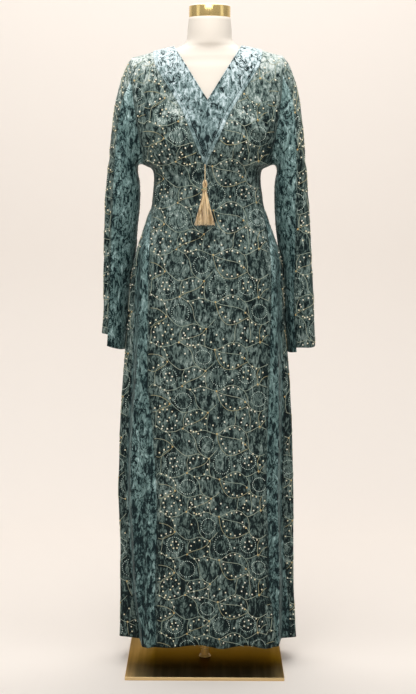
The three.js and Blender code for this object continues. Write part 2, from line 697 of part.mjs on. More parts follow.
function tasselSolid() {
  const profile = [
    [0, 0], [0.55, 0], [0.8, 0.08], [0.8, 0.2], [0.95, 0.3], [1, 0.5], [0.85, 0.75], [0.45, 0.95], [0, 1],
  ].map(([r, h]) => new THREE.Vector2(r * TASSEL.headRadius,
    lerp(TASSEL.headBottom, TASSEL.headTop, h)));
  const head = new THREE.LatheGeometry(profile, 10);
  head.rotateX(Math.PI / 2);
  let whole = toManifold(head);
  const golden = Math.PI * (3 - Math.sqrt(5));
  for (let i = 0; i < TASSEL.strands; i += 1) {
    const ring = Math.sqrt((i + 0.5) / TASSEL.strands);
    const turn = i * golden;
    const top = new THREE.Vector3(Math.cos(turn) * ring * 4, Math.sin(turn) * ring * 4,
      TASSEL.headBottom + 3);
    const tip = new THREE.Vector3(Math.cos(turn) * ring * TASSEL.halfWide,
      Math.sin(turn) * ring * TASSEL.halfDeep, TASSEL.tip + 5 * (1 - ring) + 2 * Math.sin(i * 2.3));
    const sections = [top, tip].map((point, k) => Array.from({ length: 3 }, (_, j) => {
      const angle = rad(120 * j) + turn;
      const radius = TASSEL.strandRadius * [0.5, 1][k];
      return new THREE.Vector3(point.x + Math.cos(angle) * radius, point.y + Math.sin(angle) * radius,
        point.z);
    }));
    whole = whole.add(toManifold(stack(sections.reverse())));
  }
  const geometry = fromManifold(whole);
  geometry.translate(TASSEL.x, TASSEL.y, 0);
  return geometry;
}

// ---- assembly -------------------------------------------------------------------
const group = new THREE.Group();
function add(name, geometry, color, roughness, metalness) {
  geometry.computeVertexNormals();
  const mesh = new THREE.Mesh(geometry, new THREE.MeshStandardMaterial({ color, roughness, metalness }));
  mesh.name = name;
  group.add(mesh);
}

const sheets = [
  new Sheet("front_panel", COLOURS.velvet, frontPanel()),
  new Sheet("back_panel", COLOURS.velvet, backPanel()),
  new Sheet("side_gore_left", COLOURS.plain, sideGore(-1)),
  new Sheet("side_gore_right", COLOURS.plain, sideGore(1)),
  new Sheet("sleeve_strip_left", COLOURS.plain, sleevePiece(-1, true)),
  new Sheet("sleeve_back_left", COLOURS.velvet, sleevePiece(-1, false)),
  new Sheet("sleeve_strip_right", COLOURS.plain, sleevePiece(1, true)),
  new Sheet("sleeve_back_right", COLOURS.velvet, sleevePiece(1, false)),
];
for (const sheet of sheets) {
  sheet.prepare();
  add(sheet.name, sheet.solid(0, -WALL), sheet.colour, 0.75, 0);
}

// The yoke and its edging are cut from a layer raised off the front.
const [front, back] = sheets;
const chestStart = ALL_ROWS.indexOf(BAND_START);
function raisedBand(name, outline) {
  const layer = toManifold(front.solid(LAID_GAP + BAND_WALL, LAID_GAP, chestStart));
  const cutter = toManifold(prism(outline, BAND_CUT.near, BAND_CUT.far));
  add(name, fromManifold(layer.intersect(cutter)), COLOURS.trim, 0.7, 0);
}
const bandHigh = RIDGE + BAND_CUT.over;
const vLine = [[NECK_HALF + 2, bandHigh], [0, V_BOTTOM - 2]];
const vInner = [vLine[1], [NECK_HALF - 3, bandHigh]];
const bandTop = [[YOKE_EDGE[0].x, bandHigh], ...yokeEdgeHalf.slice(1)];
// The edging's inner line, which meets itself in a mitre above the yoke's point.
function edgingLine(width) {
  const line = offsetLine(bandTop, width);
  line[0][1] = bandHigh;
  line[line.length - 1] = [0, YOKE_POINT_Z + width * MITRE];
  return line;
}
raisedBand("neck_yoke", bandOutline(edgingLine(EDGING_WIDTH), vInner));
raisedBand("yoke_edging", bandOutline(bandTop, edgingLine(EDGING_WIDTH - LAID_GAP).reverse()));

add("tassel_cord", cylinder(TASSEL.cordRadius, TASSEL.cordRadius, TASSEL.headTop + LAID_GAP,
  TASSEL.cordTop, TASSEL.x, TASSEL.y, 8), COLOURS.gold, 0.6, 0.1);
add("tassel", tasselSolid(), COLOURS.gold, 0.6, 0.1);

// The form is trimmed to lie a hair inside the cloth wherever the cloth rests on it.
let formBody = toManifold(formSolid(28));
for (const [sheet, inward] of [[front, 1], [back, -1]]) {
  const cloth = toManifold(sheet.solid(FORM_TRIM, -WALL - FORM_CLEAR, chestStart));
  for (const share of [0, 1]) {
    formBody = formBody.subtract(cloth.translate([0, inward * NECK_EASE * share, 0]));
  }
}
const [whole] = formBody.decompose().sort((a, b) => b.volume() - a.volume());
add("form_body", fromManifold(whole), COLOURS.form, 0.85, 0);
add("neck_band", cylinder(NECK.radius, NECK.radius, NECK.bandLow, NECK.bandTop, NECK.x, 0, 48),
  COLOURS.brass, 0.2, 1);
add("neck_plate", cylinder(NECK.radius - 8, NECK.radius - 1.5, NECK.bandTop + LAID_GAP, NECK.plateTop,
  NECK.x, 0, 48), COLOURS.form, 0.8, 0);
add("stand_pole", cylinder(POLE_RADIUS, POLE_RADIUS, PLATE.thick + LAID_GAP, FORM_BOTTOM - LAID_GAP, 0, 0, 24),
  COLOURS.brass, 0.25, 1);
const flange = toManifold(cylinder(FLANGE.radius - 3, FLANGE.radius, PLATE.thick + LAID_GAP,
  PLATE.thick + LAID_GAP + FLANGE.high, 0, 0, 32));
const bore = toManifold(cylinder(POLE_RADIUS + LAID_GAP, POLE_RADIUS + LAID_GAP, 0, 40, 0, 0, 24));
add("stand_flange", fromManifold(flange.subtract(bore)), COLOURS.brass, 0.3, 1);
const plate = new THREE.BoxGeometry(PLATE.side, PLATE.side, PLATE.thick);
plate.translate(0, 0, PLATE.thick / 2);
add("stand_plate", plate, COLOURS.brass, 0.25, 1);

export default group;
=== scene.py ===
import math

import bpy
import numpy as np
from bpy.props import FloatProperty, FloatVectorProperty, IntProperty, PointerProperty
from mathutils import Matrix, Vector


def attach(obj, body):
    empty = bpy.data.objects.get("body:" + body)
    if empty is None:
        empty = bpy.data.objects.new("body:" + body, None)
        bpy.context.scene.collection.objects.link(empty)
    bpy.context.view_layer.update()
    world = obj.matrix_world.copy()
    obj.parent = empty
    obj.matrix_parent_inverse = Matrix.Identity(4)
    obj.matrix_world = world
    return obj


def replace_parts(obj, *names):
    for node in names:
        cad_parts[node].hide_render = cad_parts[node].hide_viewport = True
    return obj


bl_info = {
    "name": "Jalabiya on a dress form",
    "version": (1, 0, 0),
    "blender": (4, 5, 0),
    "location": "3D View > Sidebar > Jalabiya",
    "description": "Builds an embroidered velvet jalabiya, its dress form and stand, and the studio",
    "category": "Add Mesh",
}

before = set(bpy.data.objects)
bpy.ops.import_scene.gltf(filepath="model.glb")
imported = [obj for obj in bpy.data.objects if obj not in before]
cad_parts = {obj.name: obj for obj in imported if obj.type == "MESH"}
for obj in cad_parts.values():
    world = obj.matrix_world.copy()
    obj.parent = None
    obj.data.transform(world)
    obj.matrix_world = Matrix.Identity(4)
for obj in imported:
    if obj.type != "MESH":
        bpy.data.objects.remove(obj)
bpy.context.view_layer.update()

# ---- sizes, in millimetres --------------------------------------------------------
HEM = 58.0
GORE_TOP = 1098.0
UNDERARM = 1197.0
TIP = 1452.0
RIDGE = 1476.5
NECK_HALF = 81.0
TIP_HALF = 178.0
V_BOTTOM = 1346.0
BACK_NECK_DROP = 31.0
SHOULDER_TILT = 0.016
ARM_DEPTH = 50.0
ARM_SQUARE = 2.3
SLEEVE_SQUARE = 2.2
ARM_CELLS = 10
STRIP_CELLS = 7
BUST = {"x": 74, "z": 1244, "wide": 46, "high": 52, "out": 9}
CLOTH_WALL = 1.1
BAND_RISE = 0.5
BAND_WALL = 0.9
YOKE_POINT_X = -4.5
YOKE_POINT = 1193.0
YOKE_STRAIGHT = 1400.0        # above this the yoke no longer leans to one side
EDGING_WIDTH = 9.0

PATTERN_HIGH = 101.5          # one repeat of the embroidered net
PATTERN_WIDE = 290.0
PATTERN_TOP = 1003.0
RING_DOTS = 26
RING_HEIGHT = 0.96            # a ring's height as a share of its width
DROP_STRETCH = 0.24           # share by which a ring drawn out as a drop is longer at its top
BEAD_CIRCLE = 9.5             # radius of the circle of beads inside a ring
# Heights of the front's wave lines, from the shoulder down to under the hem.
WAVES = (1500, 1396, 1299.4, 1207.8, 1108.9, 1002.5, 893.4, 784.8, 685.2, 586.2, 477.4, 387, 284.4, 186.1,
         96.9, 0, -105)
EVEN_WAVES = [PATTERN_TOP + (5 - i) * PATTERN_HIGH for i in range(len(WAVES))]

TASSEL_X, TASSEL_Y = -5.0, -114.0
CORD_FOOT, CORD_TOP = 1162.0, 1198.0
STRAND_FOOT, STRAND_TOP = 1057, 1141
GOLDEN_ANGLE = 2.399963       # in radians, from one strand to the next

FORM_GAP = 1.6                # from the form to the inside of the cloth
FORM_LEAST = 0.4              # the form's least depth, from its middle to the front or back
FORM_X = 4                    # the neck stands this far from the pole
PLATE_WIDE, PLATE_THICK = 0.372, 0.008


def columns(names, rows):
    keys = names.split()
    return [dict(zip(keys, row)) for row in rows]


# Half widths and depths of the dress at each height; square is the exponent of the ring.
BODY = columns("z left right front back square", [
    (58, 208, 222, 124, 134, 2.5), (110, 206, 218.5, 123, 131, 2.5), (200, 206, 214.5, 120, 128, 2.5),
    (300, 206, 213, 117, 125, 2.5), (400, 210.5, 212.3, 115, 123, 2.5), (500, 208.5, 209.2, 113, 121, 2.5),
    (570, 207, 207, 112, 120, 2.5), (665, 201.5, 201.5, 112, 121, 2.5), (745, 195.5, 195.5, 113, 123, 2.5),
    (805, 189.5, 188.5, 114, 124, 2.5), (870, 185.5, 185.5, 114, 123, 2.45), (925, 180.5, 183.5, 113, 119, 2.4),
    (990, 169, 175.5, 109, 111, 2.35), (1020, 159.5, 164, 106, 105, 2.3), (1070, 143, 145.5, 100, 94, 2.25),
    (1098, 132.5, 136, 97, 89, 2.2), (1115, 130, 132.5, 96.5, 87, 2.2), (1142, 127.6, 129, 98.5, 85.5, 2.1),
    (1160, 126.4, 127.1, 101, 85, 2.0), (1180, 128, 128, 106, 86, 1.84), (1190, 134.5, 133.5, 109, 87.5, 1.73),
    (1197, 150, 149, 111, 88, 1.65), (1219, 153, 152, 115, 91, 1.65), (1248, 158, 157, 117, 95, 1.8),
    (1286, 165, 163, 110, 99, 2.0), (1323, 170, 168, 99, 100, 2.1), (1361, 175, 173, 87, 96, 2.1),
    (1400, 178, 176, 75, 86, 2.1), (1425, 178.5, 176, 66, 75, 2.1), (1440, 178.5, 176, 59, 66, 2.1),
    (1456, 178.5, 176, 46, 52, 2.1), (1470.5, 178.5, 176, 24, 27, 2.1), (1476.5, 178.5, 176, 0, 0, 2.1),
])
# Where the gore's front seam stands, the edge where it turns back into a deep fold and the seam
# behind it; sink is the share by which the cloth behind that edge lies back.
GORE = columns("z seam_left edge_left fold_left seam_right edge_right fold_right sink", [
    (58, 116, 154, 161, 172, 181, 206, 0.82), (100, 116, 157, 164, 168, 182, 204, 0.82),
    (153, 118, 166, 173, 160, 183, 200, 0.8), (202, 118, 171, 178, 152, 183, 196, 0.79),
    (300, 115.5, 176, 183, 150, 180, 187, 0.77), (425, 115.5, 183, 190, 144, 176, 183, 0.74),
    (509, 121, 182, 189, 144.5, 177, 184, 0.72), (600, 128, 178, 185, 146, 178, 185, 0.68),
    (680, 138, 172, 179, 149, 176, 183, 0.62), (800, 138, 166, 173, 151, 173, 180, 0.5),
    (930, 137, 160, 167, 152, 169, 176, 0.38), (1000, 135, 152, 158, 148, 161, 167, 0.28),
    (1040, 134, 144.5, 149, 142, 150, 156, 0.18), (1075, 131.5, 136.5, 139.5, 136, 138.5, 142, 0.08),
    (1098, 132.4, 132.45, 132.5, 135.9, 135.95, 136, 0),
])
EDGE_ROUND = 6.0
SLEEVE_HEAD = columns("in_x in_z out_x out_z", [
    (153.5, 1198.5, 190, 1434), (157, 1199, 200.5, 1410), (160, 1198.5, 209.5, 1382), (162.5, 1197, 217, 1349),
    (164, 1194.5, 223, 1310), (165, 1191, 227.5, 1272), (165, 1185, 231, 1236), (164, 1176, 235, 1196),
])
SLEEVE_ARM = columns("z in_left out_left in_right out_right in_y out_y half", [
    (757, 193, 250.5, 194, 260, 40, -20, 50), (810, 187.5, 248, 186.8, 257.5, 40, -20, 49),
    (850, 185, 245, 185, 255.5, 40, -20, 47), (900, 181.3, 245, 182.8, 253.5, 40, -19, 45),
    (950, 174.8, 245.5, 179.2, 251, 38, -17, 43), (1000, 169.5, 245, 171.5, 248, 34, -14, 42),
    (1050, 165.5, 244, 164.5, 245.5, 21, -10, 42), (1100, 160, 242, 160.5, 241.5, 6, -7, 43),
    (1150, 159.5, 239.5, 160, 238, -1, -4, 45), (1196, 164, 235, 164, 234.5, -2, -2, 48),
])
STRIP_SEAM = columns("z left right", [
    (757, 118, 70), (900, 116, 74), (1033, 118, 93), (1233, 121, 107), (1399, 126, 126),
])
STRIP_CUFF = columns("share left right", [(0, 757, 753), (0.5, 759, 752), (1, 770, 755)])
BACK_CUFF = columns("share left right", [
    (0, 797, 766), (0.25, 799, 769), (0.45, 798, 774), (0.75, 780, 766), (1, 757, 753),
])
STRIP_FOLD = {"deep": 5, "column": STRIP_CELLS + 1, "wide": 0.8}
# Soft folds: a line on the front or back, its width and height (+ is out).
FOLDS = columns("back x1 z1 x2 z2 wide out", [
    (0, -148, 1262, -72, 1305, 11, 5), (0, -150, 1240, -84, 1275, 9, -5), (0, -128, 1228, -112, 1290, 8, 4),
    (0, 148, 1262, 76, 1302, 11, 5), (0, 150, 1236, 96, 1268, 9, -5), (0, -122, 1158, -70, 1108, 9, -4),
    (0, 120, 1160, 78, 1115, 9, -4), (0, -28, 1018, 62, 1012, 9, -4), (0, -88, 58, -96, 420, 20, 5),
    (0, -46, 58, -40, 330, 18, -5), (0, 22, 58, 18, 360, 20, 4), (0, 70, 58, 62, 400, 22, -5),
    (0, 124, 58, 112, 460, 20, 5), (0, -150, 600, -150, 1000, 12, 4), (0, 160, 700, 160, 1000, 10, 3),
    (1, -120, 58, -96, 620, 26, 8), (1, -62, 58, -52, 500, 24, -8), (1, 4, 58, 0, 640, 26, 8),
    (1, 66, 58, 54, 520, 24, -8), (1, 128, 58, 102, 660, 26, 8), (1, -96, 1180, -20, 1100, 12, -4),
    (1, 96, 1184, 22, 1106, 12, -4), (1, -150, 1240, -70, 1310, 13, -5), (1, 150, 1240, 72, 1306, 13, -5),
])
# Finer creases that only the cloth itself shows.
CREASES = columns("back x1 z1 x2 z2 wide out", [
    (0, -146, 1300, -112, 1352, 6, 2.2), (0, -140, 1318, -100, 1330, 5, -1.8), (0, -120, 1390, -104, 1330, 6, 1.8),
    (0, -140, 1215, -104, 1226, 5, 2.4), (0, -118, 1196, -86, 1150, 5, 2.2), (0, -124, 1176, -98, 1130, 4, -1.8),
    (0, -112, 1206, -96, 1180, 5, -1.8), (0, 146, 1300, 108, 1350, 6, 2.2), (0, 142, 1320, 104, 1322, 5, -1.8),
    (0, 138, 1216, 104, 1224, 5, 2.4), (0, 122, 1194, 92, 1142, 5, 2.2), (0, 126, 1172, 104, 1120, 4, -1.8),
    (0, 120, 1236, 110, 1190, 5, 1.8), (0, 152, 1345, 128, 1395, 6, 1.6), (0, -154, 1350, -132, 1398, 6, 1.6),
    (0, -20, 1034, 48, 1030, 6, 2.2), (0, -60, 1062, -10, 1044, 6, -1.4), (0, 34, 1000, 92, 1008, 6, -1.6),
    (0, -108, 1082, -66, 1062, 6, 1.6), (0, 112, 1080, 70, 1058, 6, 1.4), (0, -70, 600, -82, 760, 9, 1.6),
    (0, 44, 520, 38, 700, 10, -1.6), (0, 96, 560, 104, 760, 9, 1.4), (0, -18, 380, -14, 560, 10, 1.6),
    (1, -40, 1150, 30, 1142, 8, -2.2), (1, -70, 1090, 60, 1084, 8, -2.4), (1, -30, 1060, 44, 1052, 8, 2.2),
    (1, -60, 1390, -20, 1300, 9, 1.6), (1, 58, 1392, 26, 1296, 9, 1.6), (1, -84, 700, -90, 900, 12, -2),
    (1, 78, 700, 86, 880, 12, -2), (1, 0, 820, 4, 980, 12, 1.8),
])
# Long creases down the gores and short sharp ones at the armpits and the waist.
SIDE_CREASES = columns("back x1 z1 x2 z2 wide out", [
    (0, -147, 58, -152, 520, 6, -5), (0, -133, 58, -136, 700, 6, 3), (0, 164, 58, 158, 560, 6, -5),
    (0, 174, 90, 170, 700, 5, 3), (0, -118, 58, -117, 800, 3.5, -2), (0, 152, 58, 146, 800, 3.5, -2),
    (0, -150, 1228, -100, 1252, 4, 3.2), (0, -147, 1212, -108, 1236, 4, -3), (0, -138, 1204, -92, 1216, 4, 2.6),
    (0, -126, 1180, -84, 1172, 4, -2.6), (0, -124, 1164, -78, 1132, 4, 2.8), (0, -122, 1140, -88, 1098, 4, -2.4),
    (0, 150, 1226, 104, 1250, 4, 3.2), (0, 146, 1210, 110, 1236, 4, -3), (0, 136, 1202, 94, 1212, 4, 2.6),
    (0, 126, 1182, 90, 1166, 4, -2.6), (0, 124, 1160, 80, 1130, 4, 2.8), (0, 122, 1138, 92, 1096, 4, -2.4),
    (0, -150, 1290, -118, 1340, 4, 2.6), (0, -142, 1284, -104, 1320, 4, -2.4), (0, 150, 1288, 120, 1336, 4, 2.6),
    (0, 142, 1282, 108, 1318, 4, -2.4), (0, -140, 1360, -112, 1420, 5, 2.4), (0, 138, 1358, 116, 1420, 5, 2.4),
    (0, -60, 1030, 20, 1022, 4, -2), (0, -30, 1046, 70, 1040, 4, 2), (0, -96, 1000, -30, 990, 5, 1.8),
])
HEM_LINE = columns("x lift", [
    (-190, 0), (-142, -3), (-119, 1), (-60, 4), (-13, 10), (15, 6), (45, 1), (91, 7), (113, 6),
    (148, -3), (176, -1), (215, 0),
])
YOKE_EDGE = columns("x z", [
    (0, 1193), (12, 1219), (24, 1245), (37, 1276), (55, 1318), (76, 1354), (94, 1382), (110, 1408),
    (121, 1428), (127, 1455), (129, 1476),
])
FORM = columns("z half front back shift square", [
    (806, 132, 78, 84, 0, 2.2), (812, 141, 86, 93, 0, 2.2), (830, 147, 90, 99, 0, 2.2),
    (880, 150, 92, 102, 0, 2.2), (930, 147, 92, 98, 0, 2.2), (980, 140, 91, 89, 0, 2.2),
    (1030, 130, 88, 79, 0, 2.2), (1070, 122, 86, 74, 0, 2.2), (1100, 118, 86, 74, 0, 2.2),
    (1140, 117, 89, 76, 0, 2.2), (1180, 119, 95, 79, 0, 2.2), (1215, 120, 102, 82, 0, 2.2),
    (1248, 124, 106, 87, 0, 2.2), (1286, 135, 99, 91, 0, 2.2), (1323, 148, 88, 91, 0, 2.2),
    (1361, 157, 76, 87, 0, 2.2), (1400, 163, 64, 76, 0, 2.2), (1425, 164, 57, 65, 0, 2.2),
    (1440, 161, 50.5, 55, 0.5, 2.15), (1452, 144, 48, 50.5, 1, 2.1), (1461, 116, 46, 48, 2, 2.05),
    (1469, 91, 45.5, 47.5, 3, 2.0), (1475, 71, 46.5, 48, 3.5, 2.0), (1482, 60, 49, 49.5, 4, 2.0),
    (1493, 53.5, 50, 50, 4, 2.0), (1514, 51.8, 50.5, 50.5, 4, 2.0), (1542.7, 49, 49, 49, 4, 2.0),
])

# One repeat of the couched lines, in millimetres: x from its middle, z from its top and so mostly below 0.
LINES = {
    "wave": [(-146, -9), (-136, 1), (-113, -12), (-86, -10), (-66, -2), (-47, -11), (-16, -5), (18, -15),
             (36, -7), (53, 1), (72, -1), (88, -12), (101, -9), (122, 0), (136, -5), (146, -9)],
    "left_drop": [(-107, -12), (-99, -25), (-95, -42), (-82, -56), (-66, -66), (-50, -64), (-32, -59), (-8, -67)],
    "left_stem": [(-63, -101), (-64, -82), (-57, -67)],
    "middle_drop": [(-47, -11), (-37, -25), (-32, -48), (-22, -60), (-7, -68), (3, -62), (16, -50)],
    "leaf_top": [(18, -15), (32, -21), (53, -25), (74, -29), (88, -37), (97, -48)],
    "leaf_foot": [(18, -17), (22, -33), (30, -50), (45, -63), (66, -62), (84, -54), (97, -48)],
    "right_drop": [(88, -12), (94, -25), (96, -37), (98, -50), (109, -60), (126, -64), (145, -56)],
    "left_hook": [(-146, -31), (-134, -29), (-113, -33), (-97, -47), (-118, -62), (-134, -69), (-146, -66)],
    "right_stem": [(98, -50), (96, -66), (99, -84), (97, -104)],
    "spray": [(-65, -101), (-51, -94), (-30, -87), (-14, -79), (-5, -69)],
    "stalk": [(-3, -71), (-6, -87), (-7, -100), (-4, -112)],
    "right_stalk": [(66, -62), (62, -79), (62, -94), (54, -106)],
    "right_branch": [(126, -64), (120, -77), (121, -92), (122, -106), (130, -94), (138, -87), (146, -85)],
    "left_stalk": [(-107, -54), (-124, -62), (-131, -75), (-132, -90), (-136, -106)],
}
SECOND_ONLY = ("right_stem", "right_stalk")
GOLD_LINES = ("spray", "leaf_foot", "right_branch", "left_hook")
# Dotted rings: every second repeat has the first set, the others have the second.
RINGS = (
    columns("x z radius beads drop", [
        (-9, -36, 18, 0, 0), (-98, -81, 21, 6, 0), (27, -83, 21, 0, 1), (95, -78, 20, 5, 0),
    ]),
    columns("x z radius beads drop", [(-65, -38, 20, 0, 0), (122, -34, 18, 0, 0)]),
)
KNOTS = [(-66, -2), (18, -15), (122, 0), (-97, -47), (88, -39), (-5, -69)]
# Beads that every repeat has, then those of the first and the second set.
BEADS = [
    (-132, -2), (-119, -6), (-109, -12), (-101, -20), (-96, -32), (-133, -60), (-120, -54), (-108, -48),
    (29, -26), (33, -37), (40, -47), (50, -55), (61, -58), (74, -54), (-46, -71), (-55, -81), (-58, -93),
    (-32, -67), (-18, -69), (-9, -82), (-12, -94), (37, -10), (49, -6), (61, -3), (73, -7),
]
BEAD_SETS = (
    [(78, -26), (82, -36), (-21, -105), (126, -86), (134, -76), (-40, -8), (-28, -12), (108, -60), (118, -66),
     (-52, -30), (60, -88)],
    [(-47, -11), (-35, -14), (-13, -13), (-103, -61), (-91, -65), (-83, -74), (-80, -86), (-84, -97),
     (-93, -105), (-105, -107), (-116, -102), (-123, -92), (-125, -80), (-121, -69), (-113, -62),
     (-46, -107), (-33, -109), (-21, -106), (-104, -88), (-98, -80), (-52, -86), (-44, -92),
     (93, -54), (102, -60), (111, -64), (85, -72), (80, -82), (77, -92), (90, -98), (104, -100), (114, -92),
     (133, -77), (129, -89), (20, -82), (36, -92), (8, -98)],
)


# ---- small maths ------------------------------------------------------------------
def smooth(low, high, value):
    t = np.clip((np.asarray(value, float) - low) / (high - low), 0, 1)
    return t * t * (3 - 2 * t)


def lerp(a, b, t):
    return a + (b - a) * t


def unit(vectors):
    return vectors / np.maximum(1e-9, np.linalg.norm(vectors, axis=-1, keepdims=True))


def through(xs, ys):
    """A smooth curve through points, as a function that takes arrays."""
    xs, ys = np.asarray(xs, float), np.asarray(ys, float)
    slopes = np.empty_like(ys)
    slopes[1:-1] = (ys[2:] - ys[:-2]) / (xs[2:] - xs[:-2])
    slopes[0] = (ys[1] - ys[0]) / (xs[1] - xs[0])
    slopes[-1] = (ys[-1] - ys[-2]) / (xs[-1] - xs[-2])

    def value(x):
        x = np.clip(np.asarray(x, float), xs[0], xs[-1])
        i = np.clip(np.searchsorted(xs, x, "right") - 1, 0, len(xs) - 2)
        span = xs[i + 1] - xs[i]
        t = (x - xs[i]) / span
        return ((2 * t**3 - 3 * t**2 + 1) * ys[i] + (t**3 - 2 * t**2 + t) * span * slopes[i]
                + (3 * t**2 - 2 * t**3) * ys[i + 1] + (t**3 - t**2) * span * slopes[i + 1])
    return value


def curves(table, key):
    xs = [row[key] for row in table]
    return {name: through(xs, [row[name] for row in table]) for name in table[0] if name != key}


body, gore, arm = curves(BODY, "z"), curves(GORE, "z"), curves(SLEEVE_ARM, "z")
strip_seam, form = curves(STRIP_SEAM, "z"), curves(FORM, "z")
strip_cuff, back_cuff = curves(STRIP_CUFF, "share"), curves(BACK_CUFF, "share")
hem_lift = through([row["x"] for row in HEM_LINE], [row["lift"] for row in HEM_LINE])
yoke_edge = through([row["z"] for row in YOKE_EDGE], [row["x"] for row in YOKE_EDGE])


# ---- the dress as a surface ---------------------------------------------------------
def half_width(x, z):
    return np.where(np.asarray(x) < 0, body["left"](z), body["right"](z))


def hand_of(side):
    return "left" if side < 0 else "right"


def depth_at(z, back):
    return np.where(back, body["back"](z), body["front"](z))


def bulge(x, z, height):
    """1 in the middle of the dress and 0 at its side at z; the ring's exponent is the one at height."""
    n = body["square"](height)
    return (1 - np.minimum(1, np.abs(x) / half_width(x, z)) ** n) ** (1 / n)


def ridge_drop(x):
    span = (NECK_HALF - 14, TIP_HALF + 22)
    return (RIDGE - TIP) * smooth(*span, np.abs(x)) / smooth(*span, TIP_HALF)


def arm_depth(z):
    middle = (UNDERARM + TIP) / 2
    s = np.minimum(1, np.abs(z - middle) / (TIP - middle))
    return ARM_DEPTH * (1 - s**ARM_SQUARE) ** (1 / ARM_SQUARE)


def chest_depth(x, z, back):
    near = smooth(1290, 1400, z)
    high = z + ridge_drop(x) * near
    low = high - (RIDGE - TIP) * near
    c = bulge(x, low, high)
    depth = np.maximum(0, depth_at(high, back))
    return arm_depth(low) * (1 - c) + depth * c


def fold_out(x, z, back):
    out = np.zeros(np.shape(x))
    for fold in FOLDS + CREASES + SIDE_CREASES:
        dx, dz = fold["x2"] - fold["x1"], fold["z2"] - fold["z1"]
        along = ((x - fold["x1"]) * dx + (z - fold["z1"]) * dz) / (dx * dx + dz * dz)
        t = np.clip(along, 0, 1)
        away = ((x - fold["x1"] - dx * t) ** 2 + (z - fold["z1"] - dz * t) ** 2) / fold["wide"] ** 2
        out += np.where(back == bool(fold["back"]), fold["out"] * np.exp(-away), 0)
    across = (np.abs(x) - BUST["x"]) / BUST["wide"]
    up = (z - BUST["z"]) / BUST["high"]
    return out + np.where(back, 0, BUST["out"] * np.exp(-across**2 - up**2))


def tilted(points):
    share = smooth(1230, 1400, points[..., 2]) * (1 - smooth(1479, 1500, points[..., 2]))
    points[..., 2] += SHOULDER_TILT * points[..., 0] * share
    return points


def top_edge(x, back):
    t = np.minimum(1, np.abs(x) / NECK_HALF)
    neck = np.where(back, RIDGE - BACK_NECK_DROP * (1 - t**2.4), lerp(V_BOTTOM, RIDGE, t))
    return np.where(t >= 1, RIDGE - ridge_drop(x), neck)


def dress(angle, level, rear=False):
    """Points of the dress: angle 0 is the middle of the front, 180 the back; level is the height
    of the row at the side; rear puts a point at the very side on the back."""
    angle, level = np.broadcast_arrays(np.asarray(angle, float), np.asarray(level, float))
    back = (np.abs(angle) > 90) | (rear & (np.abs(angle) == 90))
    side = np.where(angle < 0, -1.0, 1.0)
    n = body["square"](level)
    sine, cosine = np.abs(np.sin(np.radians(angle))), np.abs(np.cos(np.radians(angle)))
    x = side * half_width(side, level) * sine ** (2 / n)
    c = cosine ** (2 / n)
    depth = depth_at(level, back)
    facing = smooth(0, 0.35, c)
    low_y = depth * c + fold_out(x, level, back) * facing
    lift = np.where(back, 0, hem_lift(x) * facing * (1 - smooth(HEM, 150, level)))
    top_x = side * half_width(side, TIP) * sine ** (2 / body["square"](TIP))
    share = (level - UNDERARM) / (TIP - UNDERARM)
    high_z = lerp(UNDERARM, top_edge(top_x, back), share)
    edge = smooth(0, 12, RIDGE - ridge_drop(x) - high_z) * smooth(0, 12, np.abs(90 - np.abs(angle)))
    high_y = chest_depth(x, high_z, back) + fold_out(x, high_z, back) * edge
    high = level > UNDERARM
    y = np.where(high, high_y, low_y) * np.where(back, 1, -1)
    z = np.where(high, high_z, level + lift)
    points = np.stack([x, y, z], -1)
    return np.where(high[..., None], tilted(points.copy()), points)


def front_point(x, z):
    """The point of the dress's front straight behind x and z."""
    x, z = np.broadcast_arrays(np.asarray(x, float), np.asarray(z, float))
    flat = np.zeros(x.shape, bool)
    c = bulge(x, z, z)
    low = body["front"](z) * c + fold_out(x, z, flat) * smooth(0, 0.35, c)
    under = np.maximum(z, UNDERARM)
    edge = smooth(0, 12, RIDGE - ridge_drop(x) - under)
    high = chest_depth(x, under, flat) + fold_out(x, under, flat) * edge
    y = -np.where(z > UNDERARM, high, low)
    return tilted(np.stack([x, y, z], -1))


def front_frame(x, z):
    """Points of the dress's front and the directions in which it faces there."""
    points = front_point(x, z)
    right = front_point(x + 1, z) - front_point(x - 1, z)
    up = front_point(x, z + 1) - front_point(x, z - 1)
    return points, unit(np.cross(right, up))


def angle_at(side, z, half):
    ratio = np.minimum(1, half / half_width(side, z))
    return np.degrees(np.arcsin(ratio ** (body["square"](z) / 2)))


def seam_angle(side, z, which):
    half = gore[f"{which}_{hand_of(side)}"](z)
    return np.where(z >= GORE_TOP - 0.01, 90.0, angle_at(side, np.minimum(z, GORE_TOP), half))


def dress_fold(side, angle, level, gored):
    """The dress with the deep fold beside the gore: the cloth behind the gore's edge lies back."""
    points = dress(side * angle, level, rear=level > GORE_TOP)
    hand = hand_of(side)
    height = np.broadcast_to(np.minimum(level, GORE_TOP), points.shape[:-1])
    edge = gore["edge_" + hand](height)
    low = np.maximum(edge - EDGE_ROUND, gore["seam_" + hand](height))
    high = np.minimum(edge + EDGE_ROUND, gore["fold_" + hand](height))
    felt = smooth(low, high, np.abs(points[..., 0])) if gored else np.ones(points.shape[:-1])
    front = (points[..., 1] < 0) & (height < GORE_TOP)
    points[..., 1] *= np.where(front, 1 - gore["sink"](height) * felt, 1)
    return points


# ---- rows and columns of the panels -------------------------------------------------
SKIRT_ROWS = [58, 86, 130, 185, 245, 310, 375, 440, 500, 560, 620, 680, 740, 795, 850, 900, 945, 985,
              1020, 1050, 1075]
WAIST_ROWS = [GORE_TOP, 1120, 1142, 1162, 1180, 1190, UNDERARM]


def armhole_level(i):
    middle = (UNDERARM + TIP) / 2
    c = np.cos(np.pi * np.asarray(i, float) / ARM_CELLS)
    return middle - np.sign(c) * (TIP - middle) * np.abs(c) ** (2 / ARM_SQUARE)


